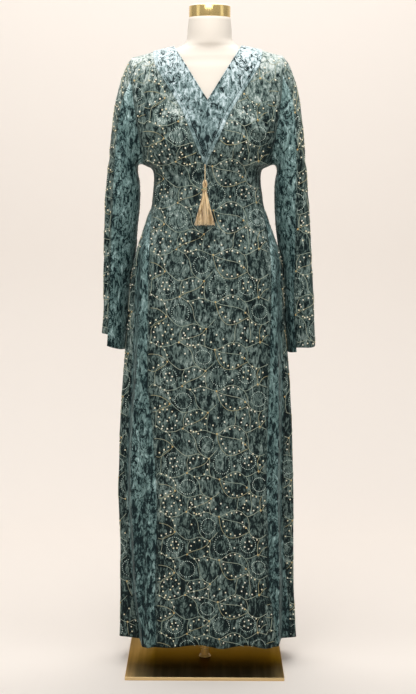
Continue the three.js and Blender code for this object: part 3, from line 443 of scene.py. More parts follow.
def filled(rows, gap, least):
    """Levels from the first row to just before the last: steps of about gap, at least so many to a row."""
    return np.concatenate([np.linspace(a, b, max(least, int((b - a) / gap)) + 1)[:-1]
                           for a, b in zip(rows, rows[1:])])


SKIRT_LEVELS = filled(SKIRT_ROWS + [GORE_TOP], 7, 3)
CHEST_LEVELS = armhole_level(np.linspace(0, ARM_CELLS, ARM_CELLS * 5 + 1))
WAIST_LEVELS = filled(WAIST_ROWS, 4, 2)
LEVELS = np.concatenate([SKIRT_LEVELS, WAIST_LEVELS, CHEST_LEVELS])
NECK_SHARE = float(np.degrees(np.arcsin((NECK_HALF / TIP_HALF) ** (body["square"](TIP) / 2)))) / 90
FRONT_SHARES = [NECK_SHARE * i / 4 for i in range(4)] + [lerp(NECK_SHARE, 1, i / 8) for i in range(9)]
BACK_CHEST = [1 - t for t in reversed(FRONT_SHARES)]
BACK_SKIRT = [0, 0.045, 0.1, 0.18, 0.27, 0.37, 0.48, 0.6, 0.71, 0.79, 0.86, 0.93, 1]
GORE_SHARES = [0, 0.26, 0.5, 0.72, 0.88, 1]


def linear(values, steps):
    return np.interp(np.linspace(0, len(values) - 1, (len(values) - 1) * steps + 1),
                     np.arange(len(values)), values)


def front_grid():
    shares, level = linear(FRONT_SHARES, 4), LEVELS[:, None]
    left = dress(-shares[::-1][:-1] * seam_angle(-1, level, "seam"), level)
    right = dress(shares * seam_angle(1, level, "seam"), level)
    return np.concatenate([left, right], 1)


def back_grid():
    level = LEVELS[:, None]
    blend = smooth(GORE_TOP, UNDERARM, level)
    share = lerp(linear(BACK_SKIRT, 4), linear(BACK_CHEST, 4), blend)

    def half(side):
        start = seam_angle(side, level, "fold")
        return dress_fold(side, lerp(start, 180, share), level, False)
    return np.concatenate([half(1), half(-1)[:, ::-1][:, 1:]], 1)


def gore_grid(side):
    level = np.append(SKIRT_LEVELS, GORE_TOP - 0.02)[:, None]
    share = linear(GORE_SHARES, 6)
    first, last = seam_angle(side, level, "seam"), seam_angle(side, level, "fold")
    points = dress_fold(side, lerp(first, last, share), level, True)
    return points[:, ::-1] if side < 0 else points


def sleeve_section(side, inner, outer, half, column):
    seam = strip_seam[hand_of(side)](outer[..., 2])
    rest = (column - STRIP_CELLS) / (2 * ARM_CELLS - STRIP_CELLS)
    angle = np.where(column <= STRIP_CELLS, seam * column / STRIP_CELLS, lerp(seam, 360, rest))
    c, s = np.cos(np.radians(angle)), np.sin(np.radians(angle))
    along = (1 - np.sign(c) * np.abs(c) ** (2 / SLEEVE_SQUARE)) / 2
    points = inner + (outer - inner) * along[:, None]
    points[:, 1] -= np.sign(s) * np.abs(s) ** (2 / SLEEVE_SQUARE) * half
    return points


def arm_section(side, z, column):
    hand = hand_of(side)
    z = np.broadcast_to(np.asarray(z, float), column.shape)
    inner = np.stack([side * arm["in_" + hand](z), arm["in_y"](z), z], -1)
    outer = np.stack([side * arm["out_" + hand](z), arm["out_y"](z), z], -1)
    points = sleeve_section(side, inner, outer, arm["half"](z), column)
    away = (column - STRIP_FOLD["column"]) / STRIP_FOLD["wide"]
    dip = STRIP_FOLD["deep"] * np.exp(-away**2) * smooth(0, 100, UNDERARM - z)
    dip = dip * smooth(STRIP_CELLS, STRIP_CELLS + 1, column)
    return points + unit((inner + outer) / 2 - points) * dip[:, None]


# Creases that run round and along each sleeve: height, where round it, length, width, depth.
SLEEVE_CREASES = columns("z angle long wide out", [
    (1330, 60, 60, 9, -3), (1290, 95, 70, 8, 2), (1238, 40, 50, 8, -3), (1150, 70, 60, 9, 2), (1090, 120, 80, 9, -2),
    (1010, 60, 90, 8, -2), (940, 100, 90, 8, 2.4), (860, 40, 80, 8, -2), (830, 130, 70, 8, 2),
    (1200, 200, 90, 12, -3), (1080, 240, 90, 12, 3), (960, 210, 90, 12, -3), (860, 260, 70, 10, 2.4),
    (1300, 250, 80, 12, 3),
])


def sleeve_grid(side, strip):
    """Rows of one sleeve piece from the cuff up: the plain strip, or the embroidered cloth round it."""
    count = 2 * ARM_CELLS
    column = np.linspace(0, STRIP_CELLS, STRIP_CELLS * 5 + 1)
    if not strip:
        column = np.linspace(STRIP_CELLS, count, (count - STRIP_CELLS) * 5 + 1)
    near = np.where(column <= ARM_CELLS, column, count - column)
    sections = [np.where((column <= ARM_CELLS)[:, None], dress(side * 90, armhole_level(near)),
                         dress(side * 90, armhole_level(near), rear=True))]
    top = SLEEVE_ARM[-1]
    for k, row in enumerate(SLEEVE_HEAD):
        t = (k + 1) / len(SLEEVE_HEAD)
        inner = np.array([[side * row["in_x"], top["in_y"] * t, row["in_z"]]])
        outer = np.array([[side * row["out_x"], top["out_y"] * t, row["out_z"]]])
        sections.append(tilted(sleeve_section(side, inner, outer, lerp(ARM_DEPTH, top["half"], t), column)))
    for z in (1150, 1100, 1050, 1000, 950, 900, 850, 810):
        sections.append(arm_section(side, z, column))
    hand = hand_of(side)
    if strip:
        sections.append(arm_section(side, back_cuff[hand](0), column))
        height = strip_cuff[hand](column / STRIP_CELLS)
    else:
        height = back_cuff[hand]((column - STRIP_CELLS) / (count - STRIP_CELLS))
    sections.append(arm_section(side, height, column))
    coarse = np.array(sections)
    steps = np.concatenate([np.linspace(i, i + 1, 7)[:-1] for i in range(len(coarse) - 1)] + [[len(coarse) - 1]])
    index, flat = np.arange(len(coarse)), coarse.reshape(len(coarse), -1)
    grid = np.stack([through(index, flat[:, i])(steps) for i in range(flat.shape[1])], 1)
    grid = grid.reshape(len(steps), len(column), 3)
    middle = np.array([[(s[..., 0].min() + s[..., 0].max()) / 2, s[..., 1].mean(), 0] for s in grid])[:, None]
    outward = unit((grid - middle) * (1, 1, 0))
    turn = column * 360 / count
    push = np.zeros(grid.shape[:2])
    for crease in SLEEVE_CREASES:
        round_it = (turn[None, :] - crease["angle"]) * 0.75
        slant = grid[..., 2] - crease["z"] + round_it * 0.8
        push += crease["out"] * np.exp(-(slant / crease["wide"]) ** 2 - (round_it / crease["long"] * 2) ** 2)
    fade = np.minimum(1, steps / 2)[:, None] * smooth(0, 1.5, np.abs(column - STRIP_CELLS))[None, :]
    grid = (grid + outward * (push * fade)[..., None])[::-1]
    return grid if side > 0 else grid[:, ::-1]


# ---- meshes ------------------------------------------------------------------------
def grid_normals(grid):
    return unit(np.cross(np.gradient(grid, axis=1), np.gradient(grid, axis=0)))


def make_object(name, points, faces):
    mesh = bpy.data.meshes.new(name)
    mesh.from_pydata((np.asarray(points) / 1000).tolist(), [], faces)
    mesh.polygons.foreach_set("use_smooth", [True] * len(mesh.polygons))
    mesh.update()
    obj = bpy.data.objects.new(name, mesh)
    bpy.context.scene.collection.objects.link(obj)
    return obj


def shell(name, grid, outer=0.0, wall=CLOTH_WALL, closed=False):
    """A thin closed sheet whose outer face lies on the grid, moved out by outer."""
    rows, cols = grid.shape[:2]
    normal = grid_normals(grid)
    if closed:
        wrap = np.concatenate([grid[:, -2:-1], grid, grid[:, 1:2]], 1)
        normal = grid_normals(wrap)[:, 1:-1]
    layers = np.concatenate([(grid + normal * outer).reshape(-1, 3),
                             (grid + normal * (outer - wall)).reshape(-1, 3)])
    index = np.arange(rows * cols).reshape(rows, cols)
    a, b, c, d = index[:-1, :-1], index[:-1, 1:], index[1:, 1:], index[1:, :-1]
    top = np.stack([a, b, c, d], -1).reshape(-1, 4)
    low = np.stack([a, d, c, b], -1).reshape(-1, 4) + rows * cols
    shift = rows * cols

    def rim(line):
        p, q = line[:-1], line[1:]
        return np.stack([q, p, p + shift, q + shift], -1)
    rims = np.concatenate([rim(index[0]), rim(index[:, -1]), rim(index[-1, ::-1]), rim(index[::-1, 0])])
    faces = np.concatenate([top, low, rims]).tolist()
    return make_object(name, layers, faces)


def tubes(name, runs, radius, sides=3, rise=0.35):
    """One mesh of thin tubes along (points, normals) runs that lie on the cloth."""
    verts, faces, base = [], [], 0
    for points, normals in runs:
        tangent = unit(np.gradient(points, axis=0))
        across = unit(np.cross(tangent, normals))
        up = np.cross(across, tangent)
        count = len(points)
        turns = [math.pi / 2 + 2 * math.pi * k / sides for k in range(sides)]
        ring = [points + up * (radius * (rise + math.sin(t))) + across * (radius * math.cos(t)) for t in turns]
        verts.append(np.stack(ring, 1).reshape(-1, 3))
        for i in range(count - 1):
            for k in range(sides):
                j = (k + 1) % sides
                p, q = base + i * sides, base + (i + 1) * sides
                faces.append((p + k, q + k, q + j, p + j))
        faces.append(tuple(base + k for k in range(sides)))
        faces.append(tuple(base + (count - 1) * sides + k for k in reversed(range(sides))))
        base += count * sides
    return make_object(name, np.concatenate(verts), faces)


def studs(name, points, normals, radius, high, sides=6):
    """One mesh of small domes standing on the cloth."""
    angle = np.linspace(0, 2 * math.pi, sides, endpoint=False)
    dome = [(share * math.cos(a), share * math.sin(a), z) for share, z in ((1, -0.3), (0.72, 0.7)) for a in angle]
    dome = np.array(dome + [(0, 0, 1.0)]) * (1, 1, high / radius)
    helper = np.where(np.abs(normals[:, 2:3]) < 0.9, [[0, 0, 1.0]], [[1.0, 0, 0]])
    across = unit(np.cross(helper, normals))
    other = np.cross(normals, across)
    scale = np.broadcast_to(np.asarray(radius, float), (len(points),))[:, None, None]
    placed = (dome[None, :, :1] * across[:, None] + dome[None, :, 1:2] * other[:, None]
              + dome[None, :, 2:] * normals[:, None]) * scale + points[:, None]
    faces = []
    for i in range(len(points)):
        base = i * (2 * sides + 1)
        for k in range(sides):
            j = (k + 1) % sides
            faces.append((base + k, base + j, base + sides + j, base + sides + k))
            faces.append((base + sides + k, base + sides + j, base + 2 * sides))
    return make_object(name, placed.reshape(-1, 3), faces)


# ---- where embroidery lies -----------------------------------------------------------
class FrontField:
    """The front panel, charted by x and z; lower down the net drifts over and is a little closer."""

    def skew(self, u, v):
        v = np.interp(v, EVEN_WAVES[::-1], WAVES[::-1])
        return u * lerp(0.91, 1, smooth(400, 900, v)) + lerp(16, -3.5, np.clip((v - 400) / 600, 0, 1)), v

    def inside(self, u, v):
        z = v
        left, right = (np.where(z < GORE_TOP, gore["seam_" + hand](z), body[hand](np.minimum(z, TIP)) * 0.985)
                       for hand in ("left", "right"))
        wide = (u > 3 - left) & (u < right - 3)
        yoke = np.where(z > 1190, yoke_edge(z) + 2, -1)
        lean = YOKE_POINT_X * (1 - smooth(YOKE_POINT, YOKE_STRAIGHT, z))
        return wide & (np.abs(u - lean) > yoke) & (z > HEM + 5) & (z < RIDGE - ridge_drop(u) - 8)

    def place(self, u, v):
        return front_frame(u, v)


class GridField:
    """A panel charted by the distance across it and the height of its rows."""

    def skew(self, u, v):
        return u, v

    def __init__(self, grid, heights, origin_column, low, high):
        step = np.linalg.norm(np.diff(grid, axis=1), axis=2)
        across = np.concatenate([np.zeros((len(grid), 1)), np.cumsum(step, 1)], 1)
        self.across = across - across[:, origin_column:origin_column + 1]
        self.grid, self.normals, self.heights = grid, grid_normals(grid), heights
        self.low, self.high = low, high

    def rows(self, v):
        r = np.interp(v, self.heights, np.arange(len(self.heights)))
        return np.clip(r.astype(int), 0, len(self.heights) - 2), r

    def inside(self, u, v):
        first, _ = self.rows(v)
        lowest, highest = self.across[first, 0] + 3, self.across[first, -1] - 3
        return (u > lowest) & (u < highest) & (v > self.low) & (v < self.high)

    def place(self, u, v):
        first, r = self.rows(v)
        share = (r - first)[:, None]

        def at(row):
            columns_here = np.array([np.interp(a, self.across[k], np.arange(self.grid.shape[1]))
                                     for a, k in zip(u, row)])
            c = np.clip(columns_here.astype(int), 0, self.grid.shape[1] - 2)
            t = (columns_here - c)[:, None]
            return (lerp(self.grid[row, c], self.grid[row, c + 1], t),
                    lerp(self.normals[row, c], self.normals[row, c + 1], t))
        p0, n0 = at(first)
        p1, n1 = at(first + 1)
        return lerp(p0, p1, share), unit(lerp(n0, n1, share))


def smooth_line(control, spacing=4.0):
    control = np.array(control, float)
    step = np.linalg.norm(np.diff(control, axis=0), axis=1)
    run = np.concatenate([[0], np.cumsum(step)])
    at = np.linspace(0, run[-1], max(3, int(run[-1] / spacing)))
    return np.stack([through(run, control[:, 0])(at), through(run, control[:, 1])(at)], 1)


LINE_POINTS = {name: smooth_line(control) for name, control in LINES.items()}


def tiles(low_u, high_u, low_v, high_v, shift_u=0.0, shift_v=0.0):
    """Centres of the repeats that cover a stretch of cloth, with a count for each row."""
    for i in range(int((low_u - shift_u) / PATTERN_WIDE) - 2, int((high_u - shift_u) / PATTERN_WIDE) + 3):
        for j in range(-20, 20):
            u = shift_u + i * PATTERN_WIDE
            v = PATTERN_TOP + shift_v - j * PATTERN_HIGH - (PATTERN_HIGH if i % 2 else 0)
            if u + PATTERN_WIDE / 2 > low_u and u - PATTERN_WIDE / 2 < high_u and low_v < v < high_v + PATTERN_HIGH:
                yield u, v, j


def wander(u, v):
    """Hand-placed lines never repeat exactly."""
    return (u + 2.2 * np.sin(v * 0.031 + u * 0.013) + 1.4 * np.sin(v * 0.013 + 2),
            v + 1.8 * np.sin(u * 0.037 + v * 0.021) + 1.2 * np.sin(u * 0.011 + v * 0.052))


def embroider(field, name, area, thread_radius=0.75):
    """Sews the couched lines, dotted rings, knots and beads of one panel."""
    pale, gold, dots, beads, knots = [], [], [], [], []
    for u0, v0, j in tiles(*area):
        for line, points in LINE_POINTS.items():
            if line in SECOND_ONLY and j % 2 == 0:
                continue
            u, v = field.skew(*wander(points[:, 0] + u0, points[:, 1] + v0))
            keep = field.inside(u, v)
            edges = np.flatnonzero(np.diff(np.concatenate([[0], keep.astype(int), [0]])))
            for start, stop in zip(edges[::2], edges[1::2]):
                if stop - start > 2:
                    (gold if line in GOLD_LINES else pale).append((u[start:stop], v[start:stop]))
        for ring in RINGS[j % 2]:
            turn = np.arange(RING_DOTS) * 2 * math.pi / RING_DOTS
            radius = ring["radius"] * (1 + ring["drop"] * DROP_STRETCH * np.maximum(0, np.cos(turn)) ** 3)
            u = ring["x"] + u0 + radius * np.sin(turn)
            v = ring["z"] + v0 + radius * np.cos(turn) * RING_HEIGHT
            dots.append(np.stack([u, v], 1))
            inner = np.arange(ring["beads"]) * 2 * math.pi / max(1, ring["beads"]) + 0.4
            beads.append(np.stack([ring["x"] + u0 + BEAD_CIRCLE * np.sin(inner),
                                   ring["z"] + v0 + BEAD_CIRCLE * np.cos(inner)], 1))
        beads.append(np.array(BEADS + BEAD_SETS[j % 2], float) + (u0, v0))
        knots.append(np.array(KNOTS, float) + (u0, v0))

    def lay(runs, label, material):
        placed = [field.place(u, v) for u, v in runs]
        return finish_piece(tubes(f"{name}_{label}", placed, thread_radius), material)

    def sew(groups, label, radius, high, material, sides):
        uv = np.concatenate(groups)
        u, v = field.skew(*wander(uv[:, 0], uv[:, 1]))
        keep = field.inside(u, v)
        points, normals = field.place(u[keep], v[keep])
        return finish_piece(studs(f"{name}_{label}", points, normals, radius, high, sides), material)
    return [lay(pale, "pale_thread", "Pale thread"), lay(gold, "gold_thread", "Gold thread"),
            sew(dots, "silver_dots", 1.25, 1.0, "Silver dots", 5),
            sew(beads, "bead_cups", 2.3, 0.8, "Gold beads", 6),
            sew(beads, "pearls", 2.05, 1.9, "Pearls", 6),
            sew(knots, "knots", 2.6, 1.4, "Gold beads", 6)]


# ---- materials ---------------------------------------------------------------------
class Value:
    """A shader socket that adds, subtracts and multiplies like a number."""

    def __init__(self, shader, socket):
        self.shader, self.socket = shader, socket

    def maths(self, operation, *others, flip=False):
        values = [self, *others]
        if flip:
            values.reverse()
        return self.shader.node("ShaderNodeMath", {"operation": operation}, dict(enumerate(values)))

    def __add__(self, other):
        return self.maths("ADD", other)

    def __sub__(self, other):
        return self.maths("SUBTRACT", other)

    def __mul__(self, other):
        return self.maths("MULTIPLY", other)

    def __rsub__(self, other):
        return self.maths("SUBTRACT", other, flip=True)

    __radd__, __rmul__ = __add__, __mul__

    def step(self, low, high, start=0.0, end=1.0):
        return self.shader.node("ShaderNodeMapRange", {"interpolation_type": "SMOOTHSTEP"},
                                {0: self, 1: low, 2: high, 3: start, 4: end})


class Shader:
    """A new material with short ways to make its nodes."""

    def __init__(self, name):
        self.material = bpy.data.materials.new(name)
        self.material.use_nodes = True
        self.tree = self.material.node_tree
        self.surface = self.tree.nodes["Principled BSDF"]

    def node(self, kind, settings=None, inputs=None, output=0):
        node = self.tree.nodes.new(kind)
        for key, value in (settings or {}).items():
            setattr(node, key, value)
        for key, value in (inputs or {}).items():
            self.put(node.inputs[key], value)
        return Value(self, node.outputs[output])

    def put(self, socket, value):
        if isinstance(value, Value):
            self.tree.links.new(value.socket, socket)
        else:
            socket.default_value = value

    def set(self, **inputs):
        for name, value in inputs.items():
            self.put(self.surface.inputs[name.replace("_", " ")], value)

    def place(self, scale):
        here = self.node("ShaderNodeTexCoord", output="Object")
        return self.node("ShaderNodeVectorMath", {"operation": "MULTIPLY"}, {0: here, 1: scale})

    def axis(self, which, facing=False):
        """One coordinate of the piece, or of the direction in which it faces."""
        vector = (self.node("ShaderNodeNewGeometry", output="Normal") if facing
                  else self.node("ShaderNodeTexCoord", output="Object"))
        return self.node("ShaderNodeSeparateXYZ", {}, {0: vector}, output=which)

    def noise(self, scale, detail=3.0, rough=0.55, bend=0.0):
        return self.node("ShaderNodeTexNoise", {}, {
            "Vector": self.place(scale), "Scale": 1.0, "Detail": detail, "Roughness": rough, "Distortion": bend})

    def blend(self, factor, first, second):
        return self.node("ShaderNodeMix", {"data_type": "RGBA"}, {0: factor, 6: first, 7: second}, output=2)

    def ramp(self, factor, *stops):
        made = self.node("ShaderNodeValToRGB", {}, {0: factor})
        elements = made.socket.node.color_ramp.elements
        elements[0].position, elements[0].color = stops[0]
        elements[1].position, elements[1].color = stops[-1]
        for position, colour in stops[1:-1]:
            elements.new(position).color = colour
        return made

    def bump(self, height, distance, strength=1.0):
        return self.node("ShaderNodeBump", {}, {"Strength": strength, "Distance": distance, "Height": height})


def rgba(red, green, blue):
    return (red, green, blue, 1.0)


MID_TONE = 0.406              # where the velvet's pattern is centred on its colour ramp


def velvet(name, tint, lift, marks=0.0, grain=0.42, painted_top_highlight=0.05, depth=0.76):
    """Crushed velvet: dark and light patches where the pile leans, drawn out up and down, with
    dark crush lines. Painted highlight: cloth that faces up and cloth high on the body are painted
    lighter. Painted shade: cloth near the hem is painted darker."""
    s = Shader(name)
    patches = s.noise((104, 104, 50), 5.0, 0.68, 0.8)
    streaks = s.noise((310, 310, 84), 4.0, 0.7, 0.4)
    wide = s.noise((18, 18, 8), 2.0, 0.5)
    blots = s.noise((88, 88, 47), 6.0, 0.72, 0.5).step(0.565, 0.60) * wide.step(0.3, 0.55, 0.5, 1.0)
    lines = (s.noise((42, 42, 28), 4.0, 0.6, 1.2) - 0.5).maths("ABSOLUTE")
    crush = (1 - lines.step(0.006, 0.036)) * wide.step(0.36, 0.60)
    height, upward = s.axis("Z"), s.axis("Z", facing=True)
    # Painted highlight: cloth that faces up, and cloth from the chest up, is painted lighter in the base colour; its
    # patches and dark marks are drawn stronger there.
    lit = upward.step(0.05, 0.75, -0.01, 0.175) + height.step(1.24, 1.42) * painted_top_highlight
    dark = crush * (height.step(0.3, 1.1, 0.125, 0.095) + marks) + blots * 0.1
    # Painted shade: cloth below about 0.7 m is painted darker towards the hem.
    tone = ((patches - 0.5) * (lit * 1.6 + depth) + (streaks - 0.5) * grain + wide * 0.2 + (lift + MID_TONE)
            + lit - (1 - height.step(0.1, 0.7)) * 0.03 - dark * (lit * 7 + 1))
    colour = s.ramp(tone, *[(at, rgba(*(t * k for t, k in zip(tint, shares)))) for at, shares in (
        (0.43, (0.035, 0.08, 0.10)), (0.468, (0.38, 0.46, 0.48)), (0.50, (1.1, 1.1, 1.1)),
        (0.575, (1.9, 1.75, 1.75)), (0.64, (4.1, 3.35, 3.45)), (0.76, (7.6, 5.5, 5.7)))])
    s.set(Base_Color=colour, Roughness=0.62, Normal=s.bump(patches * 0.7 + streaks * 0.3, 0.0018, 0.5),
          Sheen_Weight=0.03, Sheen_Roughness=0.4, Sheen_Tint=rgba(0.72, 0.9, 0.95), Specular_IOR_Level=0.14)


def thread(name, first, second, metal):
    s = Shader(name)
    s.set(Base_Color=s.blend(s.noise((22, 22, 22), 2.0).step(0.4, 0.6), rgba(*first), rgba(*second)),
          Roughness=0.5, Metallic=metal, Specular_IOR_Level=0.3)


THREADS = columns("name first second metal", [
    ("Pale thread", (0.38, 0.46, 0.37), (0.48, 0.52, 0.40), 0.0),
    ("Gold thread", (0.44, 0.40, 0.22), (0.46, 0.47, 0.33), 0.0),
    ("Silver dots", (0.70, 0.82, 0.74), (0.54, 0.66, 0.59), 0.0),
    ("Gold beads", (0.60, 0.42, 0.17), (0.70, 0.55, 0.28), 0.2),
    ("Pearls", (0.98, 0.95, 0.72), (0.98, 0.98, 0.90), 0.0),
    ("Stitching", (0.3, 0.42, 0.44), (0.38, 0.5, 0.52), 0.0),
])


def make_materials(look):
    velvet("Embroidered velvet", look.velvet_colour, lift=0.0)
    velvet("Plain velvet", look.plain_colour, lift=0.016, marks=0.045, grain=0.3)
    # The yoke gets more painted highlight high on the shoulders.
    velvet("Yoke velvet", look.yoke_colour, lift=-0.014, marks=0.04, grain=0.1, painted_top_highlight=0.11, depth=0.86)
    velvet("Edging velvet", look.yoke_colour, lift=0.05, grain=0.1)
    for row in THREADS:
        thread(**row)
    silk = Shader("Tassel silk")
    fibres = silk.noise((480, 480, 16), 2.0)
    fibres = fibres + (1 - silk.axis("Z").step(1.055, 1.085)) * 0.07
    silk.set(Base_Color=silk.ramp(fibres, (0.40, rgba(0.17, 0.09, 0.03)), (0.49, rgba(0.64, 0.43, 0.2)),
                                  (0.60, rgba(1.0, 0.80, 0.5))),
             Roughness=0.36, Sheen_Weight=0.4)
    ivory = Shader("Form cloth")
    weave = ivory.noise((900, 900, 900), 2.0)
    ivory.set(Base_Color=ivory.blend(weave, rgba(0.785, 0.71, 0.62), rgba(0.835, 0.77, 0.69)), Roughness=0.75,
              Normal=ivory.bump(weave, 0.0002, 0.3), Sheen_Weight=0.1)
    brushed = Shader("Brushed brass")
    grain = brushed.noise((70, 2, 70), 2.0)
    across, along, faces_up = brushed.axis("X"), brushed.axis("Y"), brushed.axis("Z", facing=True)
    # Painted reflection and shade: the plate's sides and bevels, a strip along its left and a narrower one along its
    # right are painted paler, and from a little before its middle to the back, under the dress, it is painted darker;
    # only the grain is the brass's own.
    pale = ((1 - faces_up.step(0.2, 0.9)) + (1 - across.step(-0.18, -0.09)) * 0.7 + across.step(0.13, 0.185) * 0.25
            + grain.step(0.3, 0.7) * 0.3 - along.step(-0.14, -0.02) * 0.3)
    brushed.set(Base_Color=brushed.ramp(pale, (0.0, rgba(0.17, 0.13, 0.065)), (0.35, rgba(0.32, 0.24, 0.13)),
                                        (1.0, rgba(0.72, 0.53, 0.27))),
                Metallic=1.0, Roughness=0.34, Specular_Tint=rgba(0.44, 0.34, 0.21))
    polished = Shader("Polished brass")
    smudge = polished.noise((30, 30, 30), 2.0)
    polished.set(Base_Color=rgba(0.93, 0.69, 0.29), Metallic=0.75, Roughness=smudge.step(0.3, 0.7, 0.16, 0.24))
    satin = Shader("Satin brass")
    satin.set(Base_Color=rgba(0.98, 0.60, 0.17), Metallic=0.3, Roughness=0.3)
    backdrop = Shader("Backdrop")
    soft = backdrop.noise((0.6, 0.6, 0.6), 1.0)
    backdrop.set(Base_Color=backdrop.blend(soft, rgba(0.935, 0.875, 0.822), rgba(0.945, 0.885, 0.83)), Roughness=0.9,
                 Alpha=1 - backdrop.node("ShaderNodeNewGeometry", output="Backfacing"))
    card = Shader("Dark card")
    card.set(Base_Color=rgba(0.02, 0.016, 0.012), Roughness=0.9)


def finish_piece(obj, material):
    obj.data.materials.clear()
    obj.data.materials.append(bpy.data.materials[material])
    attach(obj, "root")
    return obj


# ---- modelling with operators ---------------------------------------------------------
def only(obj):
    bpy.ops.object.select_all(action="DESELECT")
    obj.select_set(True)
    bpy.context.view_layer.objects.active = obj
    return obj


def turned(name, radius, low, high, x, y, material, bevel=0.6, sides=96, top_radius=None):
    """A round piece standing on end, with softened rims."""
    top = radius if top_radius is None else top_radius
    bpy.ops.mesh.primitive_cone_add(vertices=sides, radius1=radius / 1000, radius2=top / 1000,
                                    depth=(high - low) / 1000, location=(x / 1000, y / 1000, (high + low) / 2000))
    return dressed(name, material, bevel)


def dressed(name, material, bevel):
    obj = only(bpy.context.active_object)
    obj.name = name
    bpy.ops.object.transform_apply(location=True, rotation=True, scale=True)
    if bevel:
        modifier = obj.modifiers.new("Bevel", "BEVEL")
        modifier.width, modifier.segments, modifier.limit_method = bevel / 1000, 3, "ANGLE"
        bpy.ops.object.modifier_apply(modifier="Bevel")
    bpy.ops.object.shade_smooth_by_angle(angle=math.radians(35))
    return finish_piece(obj, material)


# ---- settings ------------------------------------------------------------------------
class JalabiyaSettings(bpy.types.PropertyGroup):
    """Sizes and colours that can be changed before the pieces are built."""

    velvet_colour: FloatVectorProperty(name="Velvet", description="Colour of the embroidered velvet",
                                       subtype="COLOR", size=3, default=(0.083, 0.124, 0.114))
    plain_colour: FloatVectorProperty(name="Plain velvet", description="Colour of the gores and sleeve strips",
                                      subtype="COLOR", size=3, default=(0.096, 0.163, 0.159))
    yoke_colour: FloatVectorProperty(name="Yoke", description="Colour of the yoke and its edging",
                                     subtype="COLOR", size=3, default=(0.088, 0.140, 0.141))
    thread_width: FloatProperty(name="Thread", description="Radius of the couched thread",
                                subtype="DISTANCE", unit="LENGTH", default=0.00075, min=0.0003, max=0.002)
    strands: IntProperty(name="Tassel strands", description="How many strands hang in the tassel",
                         default=230, min=60, max=400)


class Builder(bpy.types.Operator):
    """Base of the operators that build pieces."""

    bl_idname = "jalabiya.base"
    bl_label = "Base"
    bl_options = {"REGISTER", "UNDO"}

    def execute(self, context):
        self.build(context.scene.jalabiya)
        return {"FINISHED"}

    def build(self, look):
        raise NotImplementedError


class JALABIYA_OT_front(Builder):
    """Front panel with its embroidery"""

    bl_idname = "jalabiya.front"
    bl_label = "Front panel"

    def build(self, look):
        obj = finish_piece(shell("front_cloth", front_grid()), "Embroidered velvet")
        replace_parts(obj, "front_panel")
        sewn = embroider(FrontField(), "front", (-190, 190, 60, 1470), look.thread_width * 1000)


class JALABIYA_OT_back(Builder):
    """Back panel with its embroidery"""

    bl_idname = "jalabiya.back"
    bl_label = "Back panel"

    def build(self, look):
        grid = back_grid()
        obj = finish_piece(shell("back_cloth", grid), "Embroidered velvet")
        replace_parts(obj, "back_panel")
        field = GridField(grid, LEVELS, grid.shape[1] // 2, HEM + 5, TIP - 12)
        sewn = embroider(field, "back", (-460, 460, 60, 1450, 0, 18), look.thread_width * 1000)


class JALABIYA_OT_gores(Builder):
    """Plain side gores"""

    bl_idname = "jalabiya.gores"
    bl_label = "Side gores"

    def build(self, look):
        for side, hand in ((-1, "left"), (1, "right")):
            obj = finish_piece(shell(f"gore_cloth_{hand}", gore_grid(side)), "Plain velvet")
            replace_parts(obj, f"side_gore_{hand}")


class JALABIYA_OT_sleeves(Builder):
    """Sleeves: a plain front strip and an embroidered back on each"""

    bl_idname = "jalabiya.sleeves"
    bl_label = "Sleeves"

    def build(self, look):
        for side, hand in ((-1, "left"), (1, "right")):
            strip, rest = sleeve_grid(side, True), sleeve_grid(side, False)
            plain = finish_piece(shell(f"sleeve_strip_cloth_{hand}", strip), "Plain velvet")
            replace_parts(plain, f"sleeve_strip_{hand}")
            worn = finish_piece(shell(f"sleeve_back_cloth_{hand}", rest), "Embroidered velvet")
            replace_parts(worn, f"sleeve_back_{hand}")
            middle = rest[:, rest.shape[1] // 3 if side > 0 else -rest.shape[1] // 3]
            height = np.concatenate([[0], np.cumsum(np.linalg.norm(np.diff(middle, axis=0), axis=1))])
            heights = height - height[-1] + 1440
            field = GridField(rest, heights, 0 if side > 0 else rest.shape[1] - 1, heights[0] + 4, 1432)
            sewn = embroider(field, f"sleeve_{hand}", (-260, 260, 700, 1440, side * 70, 30), look.thread_width * 1000)


def v_line(share):
    """Neck edge of the yoke: share runs from -1 at the left shoulder to 1 at the right."""
    x = np.abs(share) * (NECK_HALF + 0.5) * np.sign(share)
    return x, lerp(V_BOTTOM - 2, RIDGE - 0.4, np.abs(share))


def outer_line(share, inset=0.0):
    reach = np.abs(share)
    z = lerp(YOKE_POINT + inset * 1.9, RIDGE - 0.8 - 2.2 * reach, reach)
    x = np.maximum(0, yoke_edge(z - inset * 0.4 * (1 - reach)) - inset * 0.92) * np.sign(share)
    z = np.minimum(z, RIDGE - ridge_drop(x) - 0.3)
    return x + YOKE_POINT_X * (1 - smooth(YOKE_POINT, YOKE_STRAIGHT, z)), z


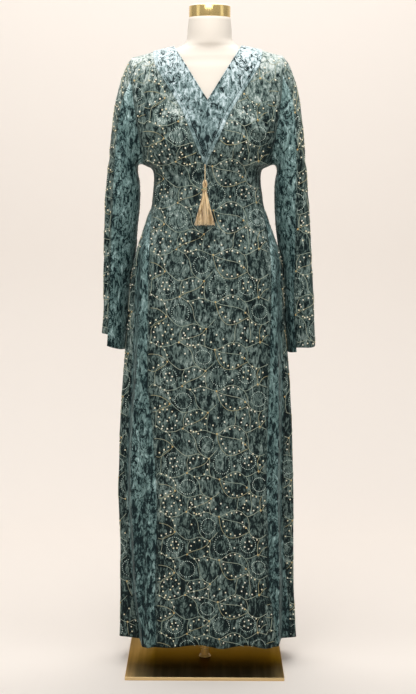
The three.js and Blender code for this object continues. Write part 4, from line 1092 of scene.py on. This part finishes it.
class JALABIYA_OT_yoke(Builder):
    """V yoke with its edging, turned neck edge and topstitching"""

    bl_idname = "jalabiya.yoke"
    bl_label = "Yoke"

    def build(self, look):
        share = np.sign(np.linspace(-1, 1, 161)) * np.abs(np.linspace(-1, 1, 161)) ** 0.9
        across = np.linspace(0, 1, 26)[:, None]

        def band(name, start, stop, rise, node, material):
            (x0, z0), (x1, z1) = start, stop
            grid = front_point(lerp(x0, x1, across), lerp(z0, z1, across))
            obj = finish_piece(shell(name, grid[::-1], rise + BAND_WALL, BAND_WALL), material)
            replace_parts(obj, node)
            return obj
        yoke = band("yoke_cloth", v_line(share), outer_line(share, EDGING_WIDTH), BAND_RISE, "neck_yoke",
                    "Yoke velvet")
        edging = band("edging_cloth", outer_line(share, EDGING_WIDTH - 0.4), outer_line(share), BAND_RISE + 0.3,
                      "yoke_edging", "Edging velvet")

        def run(line, rise):
            points, normal = front_frame(*line)
            return points + normal * rise, normal
        inner = np.linspace(-0.985, 0.985, 240)
        bound = tubes("neck_binding", [run(v_line(inner), 0.9)], 1.6, 8, 0.2)
        finish_piece(bound, "Yoke velvet")
        back = np.linspace(-NECK_HALF, NECK_HALF, 80)
        z = top_edge(back, True) - 0.6
        y = chest_depth(back, z, np.ones(80, bool))
        line = tilted(np.stack([back, y, z], 1))
        outward = np.stack([0 * back, 0 * back + 1, 0 * back], 1)
        finish_piece(tubes("back_neck_binding", [(line, outward)], 1.6, 8, 0.2), "Embroidered velvet")
        stitches = []
        for inset, rise in ((1.8, 1.75), (EDGING_WIDTH - 1.6, 1.75), (EDGING_WIDTH + 2.4, 1.45)):
            points, normal = run(outer_line(np.linspace(-0.97, 0.97, 560), inset), rise)
            stitches += [(points[i:i + 3], normal[i:i + 3]) for i in range(0, 556, 4)]
        points, normal = run((np.full(12, -0.6), np.linspace(V_BOTTOM - 18, V_BOTTOM - 4, 12)), 1.5)
        stitches.append((points, normal))
        finish_piece(tubes("topstitching", stitches, 0.32, 3, 0.3), "Stitching")


def round_tassel(radius, angle, z):
    return np.stack([TASSEL_X + radius * np.cos(angle), TASSEL_Y + radius * np.sin(angle), z + 0 * angle], -1)


class JALABIYA_OT_tassel(Builder):
    """Tassel with its cord, head and wrapped collar"""

    bl_idname = "jalabiya.tassel"
    bl_label = "Tassel"

    def build(self, look):
        turn = np.linspace(0, 1, 60)
        plies = []
        for phase in (0, math.pi):
            angle = phase + turn * 2 * math.pi * 7
            plies.append((round_tassel(0.55, angle, lerp(CORD_FOOT, CORD_TOP, turn)),
                          np.tile([0.0, -1.0, 0.0], (60, 1))))
        cord = finish_piece(tubes("tassel_cord_twist", plies, 0.6, 6, 0.0), "Tassel silk")
        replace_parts(cord, "tassel_cord")
        profile = [(0.0, 1163), (2.2, 1162.6), (3.8, 1160.5), (5.4, 1156.5), (6.0, 1152), (5.6, 1147.5),
                   (4.6, 1144), (4.3, 1143), (5.2, 1142.4), (5.5, 1141.2), (5.2, 1140), (4.4, 1139.4), (5.6, 1136)]
        angle = np.linspace(0, 2 * math.pi, 41)
        rings = [round_tassel(r, angle, z) for r, z in reversed(profile)]
        head = finish_piece(shell("tassel_head", np.array(rings), 0, 0.8), "Tassel silk")
        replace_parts(head, "tassel")
        rng = np.random.default_rng(7)
        runs = []
        for i in range(look.strands):
            ring = math.sqrt((i + 0.5) / look.strands)
            a = i * GOLDEN_ANGLE
            spread = (23.5 * ring + rng.normal(0, 0.9), 8.0 * ring)
            length = STRAND_FOOT + 6 * (1 - ring) + rng.normal(0, 1.6)
            t = np.linspace(0, 1, 9)
            flare = 0.16 + 0.84 * t ** 1.25
            wave = rng.normal(0, 0.7) * np.sin(t * 3 + rng.uniform(0, 6))
            x = TASSEL_X + math.cos(a) * spread[0] * flare + wave * t
            y = TASSEL_Y + math.sin(a) * spread[1] * (0.45 + 0.55 * t) + wave * 0.3 * t
            z = lerp(STRAND_TOP, length, t) + 1.5 * ring * t
            out = np.tile([math.cos(a), math.sin(a), 0.0], (9, 1))
            runs.append((np.stack([x, y, z], 1), out))
        finish_piece(tubes("tassel_strands", runs, 0.62, 4, 0.0), "Tassel silk")
        bands = []
        for z, r in ((1143.4, 4.9), (1142.3, 5.2), (1141.2, 5.3), (1140.1, 5.1)):
            a = np.linspace(0, 2 * math.pi, 33)
            bands.append((round_tassel(r, a, z), np.stack([np.cos(a), np.sin(a), 0 * a], 1)))
        finish_piece(tubes("tassel_wrap", bands, 0.6, 6, 0.0), "Gold thread")


class JALABIYA_OT_form(Builder):
    """Dress form, its neck band and plate"""

    bl_idname = "jalabiya.form"
    bl_label = "Dress form"

    def build(self, look):
        angle = np.linspace(0, 2 * math.pi, 129)
        level = linear([row["z"] for row in FORM], 5)[:, None]
        n = form["square"](level)
        back = np.sin(angle) > 0
        x = np.sign(np.cos(angle)) * form["half"](level) * np.abs(np.cos(angle)) ** (2 / n) + form["shift"](level)
        depth = np.where(back, form["back"](level), form["front"](level)) * np.abs(np.sin(angle)) ** (2 / n)
        covered = np.where(back, level < top_edge(x, True), level < top_edge(x, False) + 3)
        # Where the cloth covers it, the form stays inside the cloth and its folds.
        at, back = level + 0 * x, np.broadcast_to(back, x.shape)
        low = depth_at(at, back) * bulge(x, at, at)
        room = np.where(at > UNDERARM, chest_depth(x, at, back), low) - CLOTH_WALL - FORM_GAP
        room = room + np.minimum(0, fold_out(x, at, back))
        worn = covered & (level > 830) & ((np.abs(x) > 20) | back | (at < UNDERARM))
        depth = np.where(worn, np.clip(depth, FORM_LEAST, np.maximum(FORM_LEAST, room)), depth)
        grid = tilted(np.stack([x, np.where(back, depth, -depth), at], -1))
        grid[:, -1] = grid[:, 0]
        obj = shell("form_cloth", grid, 0, 2.5, closed=True)
        finish_piece(obj, "Form cloth")
        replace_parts(obj, "form_body")
        foot = turned("form_base", 126, 806.5, 812, 0, 0, "Form cloth", 1.0)
        foot.data.transform(Matrix.Diagonal((1, 0.6, 1, 1)))
        band = turned("neck_band_brass", 48.8, 1543, 1569, FORM_X, 0, "Polished brass", 0.8, 128)
        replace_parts(band, "neck_band")
        plate = turned("neck_plate_cloth", 46.8, 1569.3, 1573, FORM_X, 0, "Form cloth", 1.6, 96, 42)
        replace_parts(plate, "neck_plate")


class JALABIYA_OT_stand(Builder):
    """Pole, flange and base plate"""

    bl_idname = "jalabiya.stand"
    bl_label = "Stand"

    def build(self, look):
        bpy.ops.mesh.primitive_cube_add(size=1, location=(0, 0, PLATE_THICK / 2))
        bpy.context.active_object.scale = (PLATE_WIDE, PLATE_WIDE, PLATE_THICK)
        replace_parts(dressed("base_plate_brass", "Brushed brass", 1.0), "stand_plate")
        pole = turned("pole_brass", 9.2, 8.3, 805.7, 0, 0, "Satin brass", 0, 64)
        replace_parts(pole, "stand_pole")
        flange = turned("flange_brass", 15, 8.3, 13.3, 0, 0, "Satin brass", 0.8, 64, 12)
        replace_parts(flange, "stand_flange")
        turned("pole_joint_ring", 9.7, 27, 29, 0, 0, "Polished brass", 0.4, 64)


BACKDROP = {"half": 5200.0, "start": 1500.0, "bend": 900.0, "top": 4600.0}
LIGHTS = columns("name place target size power colour", [
    ("Overhead", (0, -0.55, 2.5), (0, 0, 1.3), (1.5, 0.7), 17, (1.0, 0.99, 0.97)),
    ("Front key", (-0.3, -2.9, 2.7), (0, 0, 0.9), (2.2, 1.1), 35, (1.0, 0.99, 0.97)),
    ("Low front", (0, -3.1, 0.4), (0, 0, 0.1), (1.6, 0.5), 7, (1.0, 0.98, 0.95)),
    ("Left side", (-2.4, -1.0, 1.5), (0, 0, 0.9), (0.8, 2.2), 4, (0.95, 0.98, 1.0)),
    ("Right side", (2.4, -0.8, 1.5), (0, 0, 0.9), (0.8, 2.2), 4, (0.95, 0.98, 1.0)),
    ("Backdrop wash", (0, 1.0, 3.8), (0, 2.3, 0.6), (3.6, 0.8), 64, (1.0, 0.98, 0.955)),
])
SENSOR = 36.0
# The lens is 1733 pixels long for a frame 694 pixels high.
CAMERA = {"at": (0.00396, -4.136, 1.1432), "pitch": 5.239, "roll": 0.295, "lens": 1733.0 / 694 * SENSOR}


def area_light(name, place, target, size, power, colour):
    data = bpy.data.lights.new(name, "AREA")
    data.shape, data.size, data.size_y, data.energy, data.color = "RECTANGLE", size[0], size[1], power, colour
    obj = bpy.data.objects.new(name, data)
    bpy.context.scene.collection.objects.link(obj)
    obj.location = place
    obj.rotation_euler = (Vector(target) - Vector(place)).to_track_quat("-Z", "Y").to_euler()


class JALABIYA_OT_studio(Builder):
    """Backdrop, lights and camera"""

    bl_idname = "jalabiya.studio"
    bl_label = "Studio"

    def build(self, look):
        half, start, bend = BACKDROP["half"], BACKDROP["start"], BACKDROP["bend"]
        turn = np.linspace(0, math.pi / 2, 17)
        profile = [(-half, 0.0), (start, 0.0)]
        profile += [(start + bend * math.sin(a), bend - bend * math.cos(a)) for a in turn[1:]]
        profile += [(start + bend, BACKDROP["top"])]
        points = [(x, y, z) for y, z in profile for x in (-half, half)]
        faces = [(2 * i, 2 * i + 1, 2 * i + 3, 2 * i + 2) for i in range(len(profile) - 1)]
        backdrop = make_object("backdrop", points, faces)
        backdrop.data.materials.append(bpy.data.materials["Backdrop"])
        world = bpy.data.worlds.new("Studio light")
        bpy.context.scene.world = world
        world.use_nodes = True
        glow = world.node_tree.nodes["Background"].inputs
        glow["Color"].default_value, glow["Strength"].default_value = (1.0, 0.98, 0.955, 1), 0.23
        for light in LIGHTS:
            area_light(**light)
        bpy.ops.mesh.primitive_plane_add(size=1, location=(0, -4.9, 1.2), rotation=(math.pi / 2, 0, 0))
        card = bpy.context.active_object
        card.name, card.scale = "dark_card", (0.7, 3.0, 1)
        card.data.materials.append(bpy.data.materials["Dark card"])
        data = bpy.data.cameras.new("Camera")
        data.sensor_fit, data.sensor_width, data.lens = "AUTO", SENSOR, CAMERA["lens"]
        data.clip_end = 50
        camera = bpy.data.objects.new("Camera", data)
        bpy.context.scene.collection.objects.link(camera)
        pitch, roll = math.radians(CAMERA["pitch"]), math.radians(CAMERA["roll"])
        forward = Vector((0, math.cos(pitch), -math.sin(pitch)))
        level = Vector((1, 0, 0))
        lift = level.cross(forward)
        right = level * math.cos(roll) + lift * math.sin(roll)
        up = lift * math.cos(roll) - level * math.sin(roll)
        turned_to = Matrix((right, up, -forward)).transposed().to_4x4()
        camera.matrix_world = Matrix.Translation(CAMERA["at"]) @ turned_to
        bpy.context.scene.camera = camera
        bpy.context.scene.view_settings.view_transform = "Standard"


class JALABIYA_PT_panel(bpy.types.Panel):
    bl_label = "Jalabiya"
    bl_idname = "JALABIYA_PT_panel"
    bl_space_type = "VIEW_3D"
    bl_region_type = "UI"
    bl_category = "Jalabiya"

    def draw(self, context):
        for name in JalabiyaSettings.__annotations__:
            self.layout.prop(context.scene.jalabiya, name)
        for operator in OPERATORS:
            self.layout.operator(operator.bl_idname)


OPERATORS = (JALABIYA_OT_front, JALABIYA_OT_back, JALABIYA_OT_gores, JALABIYA_OT_sleeves, JALABIYA_OT_yoke,
             JALABIYA_OT_tassel, JALABIYA_OT_form, JALABIYA_OT_stand, JALABIYA_OT_studio)
CLASSES = (JalabiyaSettings, *OPERATORS, JALABIYA_PT_panel)


def register():
    for cls in CLASSES:
        bpy.utils.register_class(cls)
    bpy.types.Scene.jalabiya = PointerProperty(type=JalabiyaSettings)


def unregister():
    del bpy.types.Scene.jalabiya
    for cls in reversed(CLASSES):
        bpy.utils.unregister_class(cls)


def main():
    register()
    make_materials(bpy.context.scene.jalabiya)
    for operator in OPERATORS:
        group, name = operator.bl_idname.split(".")
        getattr(getattr(bpy.ops, group), name)()


if __name__ == "__main__":
    main()
